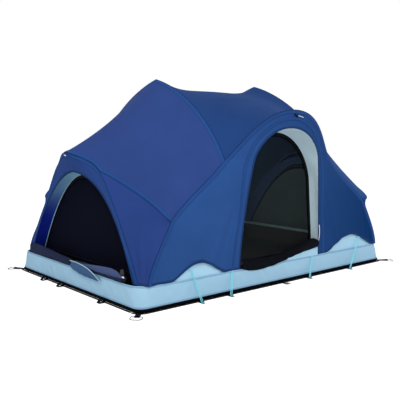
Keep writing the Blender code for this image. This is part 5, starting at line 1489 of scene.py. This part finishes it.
@dataclass
class Base:
    """Padded black base, pale band, webbing with its hooks and tabs, rings and cords."""

    seams: Seams
    pad_thickness: float = 0.022
    pad_margin: float = 0.006
    pad_corner: float = 0.055
    pad_edge: float = 0.007
    band_corner: float = 0.060
    band_height: float = 0.150
    band_foot: float = 0.0224
    ledge: float = 0.0055
    lean: float = 0.010
    flap_lap: float = 0.045
    webbing_width: float = 0.016
    webbing_gap: float = 0.0004
    tab_length: float = 0.075
    tab_width: float = 0.030
    eye: float = 0.0053
    ring_wire: float = 0.0020
    ring_width: float = 0.075
    ring_length: float = 0.048
    ring_bend: float = 0.022
    hook_reach: float = 0.052
    hook_width: float = 0.022
    post_radius: float = 0.003
    post_height: float = 0.013
    post_head: float = 0.0075
    cord_radius: float = 0.0024
    corner_lean: float = 0.034
    loop_places: tuple[float, ...] = (-0.43, 0.10, 0.34)
    loop_length: float = 0.040
    loop_width: float = 0.030
    cords: tuple[tuple[float, float], ...] = ((-0.820, -0.765), (-0.473, -0.520), (0.330, 0.255), (0.905, 0.735))

    def build(self) -> None:
        """Make the base from the ground up; the cords were made first."""
        self.pad()
        self.band()
        self.flaps()
        self.webbing()
        self.hooks()
        self.loops()
        self.tabs()
        self.rings()

    @property
    def edges(self) -> tuple[float, float]:
        """Half length and half width of the pad."""
        return HALF_L + self.pad_margin, HALF_W + self.pad_margin

    @property
    def hook_y(self) -> float:
        """Distance of the hooks' posts from the middle."""
        return self.edges[1] + self.webbing_gap + self.hook_reach

    def pad(self) -> None:
        """Padded base: a rounded edge carried round a rounded rectangle, closed above and below."""
        angle = np.linspace(-math.pi / 2, math.pi / 2, 9)
        thick, edge = self.pad_thickness, self.pad_edge
        outline = rounded(self.edges[0] - edge, self.edges[1] - edge, self.pad_corner - edge, 420)
        out = outward_of(outline)
        z = thick / 2 + thick / 2 * np.sign(np.sin(angle)) * np.abs(np.sin(angle)) ** 0.8
        ring = outline[None] + out[None] * (edge * np.abs(np.cos(angle)) ** 0.6)[:, None, None]
        inner = outline[None] * np.linspace(0.97, 0.03, 12)[:, None, None]
        work = Patchwork()
        index = work.skin(np.concatenate([raised(inner[::-1], 0.0), raised(ring, z[:, None]),
                                          raised(inner, thick)]), around=True)
        work.cap(index[0], (0, 0, 0), True)
        work.cap(index[-1], (0, 0, thick), False)
        put("ground_pad_cover", work, Stuff.PAD, instead="ground_pad", slot="ground_pad")
        rings = rings_along(raised(outline + out * 0.0068, thick * 0.5), 0.0016, 8, closed=True)
        put("ground_pad_binding", Patchwork().tube(rings, closed=True), Stuff.STRAP, slot="ground_pad")

    def band(self) -> None:
        """Band wall: soft cloth, fuller at mid height, with small wrinkles and a dip under each door roll."""
        line = rounded(HALF_L, HALF_W, self.band_corner, 960)
        out = outward_of(line)
        sag = np.interp(-np.sign(line[:, 1]) * line[:, 0], *zip(*BAND_DIP)) * (np.abs(out[:, 1]) > 0.999)
        s = np.linspace(0, 1, 15)[:, None]
        turn = np.arange(960) / 960 * TAU
        wrinkle = (0.0016 * np.sin(turn * 37 + 3 * np.sin(turn * 11)) * np.sin(s * 5)
                   + 0.0012 * np.sin(turn * 90 + s * 7) * (0.3 + 0.7 * s))
        puff = (np.sin(s * math.pi) ** 0.7 * (0.0035 + wrinkle))[..., None]
        z = self.band_foot + (self.band_height - self.band_foot) * s + sag * s ** 3
        leant = line - self.lean_in(line) * s[..., None]
        brow = np.stack([leant[-1] - out * k for k in (0.0004, 0.0020)])
        work = Patchwork()
        work.skin(np.concatenate([raised(leant + out * 0.0012 + out * puff, z), raised(brow, z[-1] + 0.0008),
                                  raised(leant - out * 0.0028 + out * puff, z)[::-1]]), around=True, ring=True)
        band = put("floor_band_cloth", work, Stuff.BAND, instead="floor_band", slot="pale_band")
        for name, height in (("floor_band_top_tape", 0.1440), ("floor_band_foot_tape", 0.0290)):
            self.band_tape(name, line, out, sag, height)

    def lean_in(self, line: Array) -> Array:
        """How far the band's top is drawn in, which is near its corners."""
        away = ((np.abs(line) - (HALF_L, HALF_W)) ** 2).sum(axis=1, keepdims=True)
        return self.corner_lean * np.exp(-away / 0.075 ** 2) * np.sign(line) / math.sqrt(2)

    def band_tape(self, name: str, line: Array, out: Array, sag: Array, height: float) -> None:
        """Stitched tape round the band."""
        share = (height - self.band_foot) / (self.band_height - self.band_foot)
        swell = 0.0022 + 0.0035 * math.sin(share * math.pi) ** 0.7
        k = np.linspace(-1, 1, 7)[:, None, None]
        flat = line - self.lean_in(line) * share + out * (swell + 0.0007 * (1 - k ** 4))
        z = height + sag * share ** 3 + 0.005 * k[..., 0]
        work = Patchwork().shell(raised(flat, z), raised(flat - out * 0.0025, z), around=True)
        put(name, work, Stuff.BAND_TAPE, slot="pale_band")

    def flaps(self) -> None:
        """Pale flaps that stand up behind the scallops, and the pale sill under each raised roll end."""
        for side, sy in SIDES.items():
            for end, sx in ENDS.items():
                centre, half, _ = self.seams.scallop(sx, sy)
                x = np.linspace(centre - half - 0.035, centre + half + 0.035, 130)
                rise = self.seams.rise(x, sx, sy)
                top = self.band_height + 0.012 + (self.flap_lap - 0.012 + rise) * np.clip(rise / 0.02, 0, 1)
                self.flap(f"band_flap_{side}_{end}", sx * x, top, sy, self.ledge + 0.0008, self.lean)
            x = np.linspace(0.0, 0.396, 80)
            top = np.interp(x, [0.0, 0.08, 0.24, 0.37, 0.396], [0.151, 0.166, 0.190, 0.204, 0.206])
            self.flap(f"band_sill_{side}", -sy * x, top, sy, -0.0004, 0.0)

    def flap(self, name: str, x: Array, top: Array, sy: int, inset: float, lean: float) -> None:
        """Cloth that stands up from the band's top to a given height, with soft upright ripples."""
        s = np.linspace(0, 1, 14)[:, None]
        y = HALF_W - inset - lean * s + 0.0012 * np.sin(x * 55 + 2 * np.sin(x * 21)) * s
        grid = xyz(x, sy * y, (self.band_height - 0.010) * (1 - s) + top * s)
        out = np.array([0.0, sy * 0.0008, 0.0])
        put(name, Patchwork().shell(grid + out, grid - out), Stuff.FLAP, slot="pale_band")

    def webbing(self) -> None:
        """Flat webbing round the pad: a strap for each long side with its corners, and one for each end."""
        reach = self.webbing_gap + self.webbing_width / 2
        outline = rounded(self.edges[0] + reach, self.edges[1] + reach, self.pad_corner + self.webbing_width / 2, 640)
        out = raised(outward_of(outline), 0.0)
        path, across = raised(np.vstack([outline, outline[:1]]), 0.0001), np.vstack([out, out[:1]])
        x, y = path[:, 0], path[:, 1]
        straight_end = np.abs(y) <= 0.725
        for name, chosen in (*((side, ~straight_end & (np.sign(y) == sy)) for side, sy in SIDES.items()),
                             *((end, straight_end & (x * sx > HALF_L)) for end, sx in ENDS.items())):
            run = np.flatnonzero(chosen)
            gap = np.flatnonzero(np.diff(run) > 1)
            if len(gap):
                run = np.r_[run[gap[0] + 1:], run[:gap[0] + 1]]
            put(f"webbing_{name}_strap", strap(path[run], across[run], self.webbing_width), Stuff.STRAP,
                instead=f"webbing_{name}", slot="webbing")

    def hooks(self) -> None:
        """Moulded hooks that the cords turn round, each on its tongue of webbing, and a middle buckle."""
        root = self.edges[1] + 0.002
        y = np.linspace(root + 0.004, root + self.hook_reach + self.hook_width / 2 - 0.002, 24)
        z = 0.0012 + 0.0016 * np.clip(1 - (y - root) / 0.02, 0, 1)
        for side, sy in SIDES.items():
            for k, hook in enumerate([*(hook for _, hook in self.cords), 0.0], 1):
                work = strap(xyz(-sy * hook, sy * y, z), (1, 0, 0), self.hook_width, thickness=0.0022)
                put(f"hook_tongue_{side}_{k}", work, Stuff.STRAP, slot="webbing")
                if hook:
                    self.post(f"hook_post_{side}_{k}", -sy * hook, sy * self.hook_y)
                else:
                    self.buckle(f"buckle_{side}", sy * (root + self.hook_reach))

    def post(self, name: str, x: float, y: float) -> None:
        """Turned post with a domed head: its profile spun round the upright."""
        r, h, head = self.post_radius, self.post_height, self.post_head
        profile = np.array([(0.0008, 0.001), (0.0082, 0.001), (0.0086, 0.0026), (0.0080, 0.0040), (0.0045, 0.0044),
                            (r, 0.0050), (r, h - 0.0044), (r + 0.0012, h - 0.0034), (head - 0.001, h - 0.0030),
                            (head, h - 0.0022), (head - 0.0004, h - 0.0010), (head * 0.6, h - 0.0002), (0.0008, h)])
        angle = np.arange(28) / 28 * TAU
        rings = xyz(x + profile[:, :1] * np.cos(angle), y + profile[:, :1] * np.sin(angle), profile[:, 1:])
        put(name, Patchwork().tube(rings), Stuff.PLASTIC, slot="black_plastic", crease_angle=30)

    def buckle(self, name: str, y: float) -> None:
        """Flat ladder buckle: a rounded frame with a bar across."""
        half_l, half_w, z = 0.019, 0.014, 0.0052
        work = Patchwork()
        path = raised(rounded(half_l, half_w, 0.004, 64) + (0.0, y), z)
        work.tube(rings_along(path, 0.0021, 8, closed=True, flat=0.8), closed=True)
        work.tube(rings_along(straight((-half_l, y - 0.001, z), (half_l, y - 0.001, z), 12), 0.0018, 8))
        put(name, work, Stuff.PLASTIC, slot="black_plastic")

    def loops(self) -> None:
        """Strap loops on the end webbing: a band folded back on itself."""
        root = self.edges[0] + self.webbing_width * 0.4
        tip = self.edges[0] + self.webbing_width + self.loop_length - 0.005
        turn = np.linspace(0.2, math.pi - 0.2, 9)
        u = np.r_[np.linspace(root, tip, 18), tip + 0.004 * np.sin(turn), np.linspace(tip, root, 18)]
        z = np.r_[np.full(18, 0.0002), 0.0042 - 0.0040 * np.cos(turn),
                  np.linspace(0.0082, 0.0032, 18) + 0.016 * np.sin(np.linspace(0, math.pi, 18))]
        for end, sx in ENDS.items():
            for k, y in enumerate(self.loop_places, 1):
                path = xyz(sx * u, -sx * y, z)
                lift = np.cross(unit(np.gradient(path, axis=0)), [0.0, 1.0, 0.0]) * sx
                work = strap(path, (0, 1, 0), self.loop_width, lift, 0.0014, 0.5, -3 / 14)
                put(f"strap_loop_{end}_{k}", work, Stuff.STRAP, slot="webbing")

    def corner(self, sx: int, sy: int) -> tuple[Array, Array, Array, Array]:
        """Start, outward and crosswise directions of a corner tab, and its ring's pin."""
        inset = self.pad_corner * (1 - math.sqrt(0.5))
        start = np.array([sx * (self.edges[0] - inset), sy * (self.edges[1] - inset), 0.0])
        outward = np.array([sx, sy, 0.0]) / math.sqrt(2)
        across = np.array([-outward[1], outward[0], 0.0])
        pin = start + outward * (self.tab_length + self.eye / 2) + (0, 0, self.eye + 0.0002)
        return start, outward, across, pin

    def tabs(self) -> None:
        """Corner tabs: webbing folded round the ring's pin and sewn back, with a grommet."""
        turn, radius = np.linspace(-math.pi / 2, math.pi / 2, 13), 0.0042
        for side, sy, end, sx in QUARTERS:
            start, outward, across, pin = self.corner(sx, sy)
            reach = float((pin - start) @ outward)
            u = np.r_[np.linspace(0.004, reach - 0.004, 22), reach + radius * np.cos(turn),
                      np.linspace(reach - 0.006, 0.004, 22)]
            z = np.r_[np.full(22, 0.0012), pin[2] + radius * np.sin(turn), np.linspace(0.0086, 0.0040, 22)]
            path = start + u[:, None] * outward + z[:, None] * (0, 0, 1)
            lift = np.cross(unit(np.gradient(path, axis=0)), across)
            lift = lift if lift[28] @ outward > 0 else -lift
            put(f"corner_tab_{side}_{end}", strap(path, across, self.tab_width, lift, 0.0006, 0.6, -1.0),
                Stuff.STRAP, slot="webbing")
            self.grommet(f"tab_grommet_{side}_{end}", start + outward * 0.052)

    def grommet(self, name: str, place: Array) -> None:
        """Pressed eyelet: a half round rim about a dark hole."""
        angle = np.linspace(0, TAU, 33)[:-1]
        path = xyz(place[0] + 0.0062 * np.cos(angle), place[1] + 0.0062 * np.sin(angle), 0.0072)
        work = Patchwork().tube(rings_along(path, 0.0019, 10, flat=0.5, closed=True), closed=True)
        put(name, work, Stuff.EYELET, slot="steel_ring")

    def rings(self) -> None:
        """Bent steel rings in the tabs: a wire carried round a flat D."""
        tilt = math.asin((self.eye - self.ring_wire) / self.ring_length)
        half, radius, heel = self.ring_width / 2 - self.ring_wire, self.ring_bend, 0.004
        bend, arc = np.linspace(0, math.pi / 2, 13), np.linspace(-math.pi / 2, 0, 7)
        right = np.r_[np.c_[heel + heel * np.sin(arc), half - heel + heel * np.cos(arc)],
                      np.c_[self.ring_length - radius + radius * np.sin(bend), half - radius + radius * np.cos(bend)]]
        local = np.vstack([(0.0, 0.0), right, (right * (1, -1))[::-1], (0.0, 0.0)])
        local = resampled(local, 121)[:-1]
        for side, sy, end, sx in QUARTERS:
            _, outward, across, pin = self.corner(sx, sy)
            path = (pin + outward * local[:, :1] * math.cos(tilt) + across * local[:, 1:]
                    - np.array([0, 0, 1.0]) * local[:, :1] * math.sin(tilt))
            work = Patchwork().tube(rings_along(path, self.ring_wire, 12, closed=True), closed=True)
            mark = f"corner_ring_{side}_{end}"
            put(f"{mark}_wire", work, Stuff.STEEL, body=mark, instead=mark, slot="steel_ring")

    def elastic(self) -> None:
        """Doubled elastic cords: from the hem down, round the post and back up."""
        spread = self.post_radius + self.cord_radius + 0.0004
        z = 0.003 + self.cord_radius + 0.0004
        bend = np.linspace(-math.pi / 2, math.pi / 2, 17)
        for side, sy in SIDES.items():
            for k, (top, hook) in enumerate(self.cords, 1):
                top_x, hook_x = -sy * top, -sy * hook
                hem = self.seams.side_hem(1 if top_x > 0 else -1, sy)
                hem = hem[np.argsort(hem[:, 0])]
                strands = []
                for offset in (-spread, spread):
                    x = top_x + offset * 0.7
                    upper = (x, sy * (HALF_W + 0.0035), float(np.interp(x, hem[:, 0], hem[:, 2])) - 0.0019)
                    strands.append(straight(upper, (hook_x + offset, sy * (self.hook_y - 0.010), z + 0.0032), 24))
                down, back = strands
                turn = xyz(hook_x + spread * np.sin(bend), sy * (self.hook_y + spread * np.cos(bend)), z)
                path = np.vstack([down, turn, back[::-1]])
                work = Patchwork().tube(rings_along(path, self.cord_radius, 10, (0.2, 0.1, 0.97)))
                put(f"cord_{side}_{k}_braid", work, Stuff.CORD, instead=f"cord_{side}_{k}", slot="elastic_cord")


@dataclass
class Hardware:
    """Poles, clips and zip sliders."""

    slider_length: float = 0.026
    slider_width: float = 0.010
    slider_depth: float = 0.007
    slider_start: float = 0.080
    tape_middle: float = 0.012

    def build(self) -> None:
        """Finish the poles and clips, and make the sliders."""
        for name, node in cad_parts.items():
            if name.startswith("pole_"):
                for slot in node.material_slots:
                    slot.material = material_of(Stuff.PLASTIC if name.startswith("pole_clip") else Stuff.POLE)
        for side, sy in SIDES.items():
            self.slider(f"zip_slider_{side}", sy)

    def slider(self, body: str, sy: int) -> None:
        """Slider with a domed body and a pull that hangs from it."""
        lean = unit(np.array([DOOR_KNEE_X - DOOR_FOOT_X, 0.0, DOOR_KNEE_Z - SILL_Z]))
        x = DOOR_FOOT_X + self.tape_middle + lean[0] * self.slider_start
        y = CABIN_Y + 0.0015 + 0.0004 + self.slider_depth / 2
        centre = np.array([-sy * x, sy * y, SILL_Z + self.slider_start])
        along = np.array([-sy * lean[0], 0.0, lean[2]])
        across, out = np.cross(along, [0.0, 1.0, 0.0]), np.array([0.0, float(sy), 0.0])
        t = np.linspace(-1, 1, 17)[:, None, None]
        angle = (np.arange(20) / 20 * TAU)[None, :, None]
        taper = np.sqrt(np.clip(1.02 - t ** 8, 0, 1))
        width = self.slider_width / 2 * (1 - 0.25 * np.abs(t) ** 3) * taper
        depth = self.slider_depth / 2 * (1 - 0.15 * t ** 2) * taper
        c, s = np.cos(angle), np.sin(angle)
        rings = (centre + along * t * self.slider_length / 2
                 + across * width * np.sign(c) * np.abs(c) ** 0.6 + out * depth * np.sign(s) * np.abs(s) ** 0.6)
        put(f"{body}_body", Patchwork().tube(rings), Stuff.PLASTIC, body=body, instead=body, slot="black_plastic")
        hang = np.linspace(0, 1, 24)[:, None]
        path = (centre + out * (self.slider_depth / 2 + 0.0012 + 0.002 * np.sin(hang * math.pi))
                + np.array([0, 0, -1.0]) * hang * 0.034)
        put(f"{body}_pull", strap(path, across, 0.006, out, 0.0018), Stuff.STRAP, body=body, slot="webbing")


# ---------------------------------------------------------------- studio


@dataclass
class Studio:
    """Camera at the photograph's place, plain soft light, and a white floor."""

    place: Point = (-3.122, -3.580, 1.015)
    azimuth: float = -40.34
    pitch: float = 6.0
    roll: float = 0.18
    focal: float = 606.1 / 400 * 36

    def camera(self) -> None:
        """Aim the camera by its azimuth, pitch and roll."""
        a, p, r = (math.radians(x) for x in (self.azimuth, self.pitch, self.roll))
        ahead = Vector((-math.sin(a) * math.cos(p), math.cos(a) * math.cos(p), -math.sin(p)))
        level = ahead.cross(Vector((0, 0, 1))).normalized()
        upright = level.cross(ahead)
        right = level * math.cos(r) + upright * math.sin(r)
        up = upright * math.cos(r) - level * math.sin(r)
        data = bpy.data.cameras.new("camera")
        data.lens, data.sensor_width = self.focal, 36.0
        data.clip_start, data.clip_end = 0.05, 60.0
        camera = linked("camera", data)
        turn = Matrix((right, up, -ahead)).transposed().to_4x4()
        camera.matrix_world = Matrix.Translation(self.place) @ turn
        bpy.context.scene.camera = camera

    def light(self) -> None:
        """Even sky, a broad key lamp from the upper left, a weak fill, and what comes in through the cloth."""
        world = bpy.data.worlds.new("studio_sky")
        bpy.context.scene.world = world
        recipe = Recipe(world)
        recipe.tree.nodes.clear()
        seen = recipe.add("ShaderNodeBackground", {0: (1.0, 1.0, 1.0, 1.0), 1: 1.0})
        glow = recipe.add("ShaderNodeBackground", {0: (0.93, 0.96, 1.0, 1.0), 1: 0.60})
        mix = recipe.add("ShaderNodeMixShader", {0: recipe.white_rays(), 1: glow.outputs[0], 2: seen.outputs[0]})
        recipe.add("ShaderNodeOutputWorld", {0: mix.outputs[0]})
        for name, place, power in (("key", (-3.0, -3.2, 4.2), 120.0), ("fill", (3.6, -3.4, 2.4), 26.0)):
            lamp = bpy.data.lights.new(name, "AREA")
            lamp.size, lamp.energy = 2.6, power
            stand = linked(name, lamp)
            stand.location = place
            aim = Vector((0, 0, 0.6)) - Vector(place)
            stand.rotation_euler = aim.to_track_quat("-Z", "Y").to_euler()
        through = bpy.data.lights.new("through_cloth", "POINT")
        through.shadow_soft_size, through.energy = 0.25, 3.5
        stand = linked("through_cloth", through)
        stand.location = (0.0, 0.0, 0.55)
        stand.visible_camera = False

    def floor(self) -> None:
        """White floor that keeps a faint shadow."""
        size, z = 14.0, -0.0012
        data = bpy.data.meshes.new("studio_floor")
        data.from_pydata([(-size, -size, z), (size, -size, z), (size, size, z), (-size, size, z)], [],
                         [(0, 1, 2, 3)])
        floor = linked("studio_floor", data)
        recipe = Recipe(bpy.data.materials.new("studio_floor_white"))
        recipe.surface(Base_Color=(0.86, 0.87, 0.88, 1.0), Roughness=0.9, Specular_IOR_Level=0.1,
                       Emission_Color=(1.0, 1.0, 1.0, 1.0),
                       Emission_Strength=recipe.math("MULTIPLY", recipe.white_rays(), 0.56))
        data.materials.append(recipe.owner)

    def build(self) -> None:
        """Set the light, the floor and the view."""
        self.light()
        self.floor()
        bpy.context.scene.view_settings.view_transform = "Standard"


def main() -> None:
    """Build the tent, class by class."""
    logging.basicConfig(level=logging.INFO, format="%(name)s: %(message)s")
    studio = Studio()
    studio.camera()
    seams = Seams()
    base = Base(seams)
    base.elastic()
    cover = Cover(seams)
    cover.build()
    inner = InnerTent(seams)
    inner.build()
    Linings(cover, inner).build()
    Rolls().build()
    base.build()
    Hardware().build()
    studio.build()


if __name__ == "__main__":
    main()
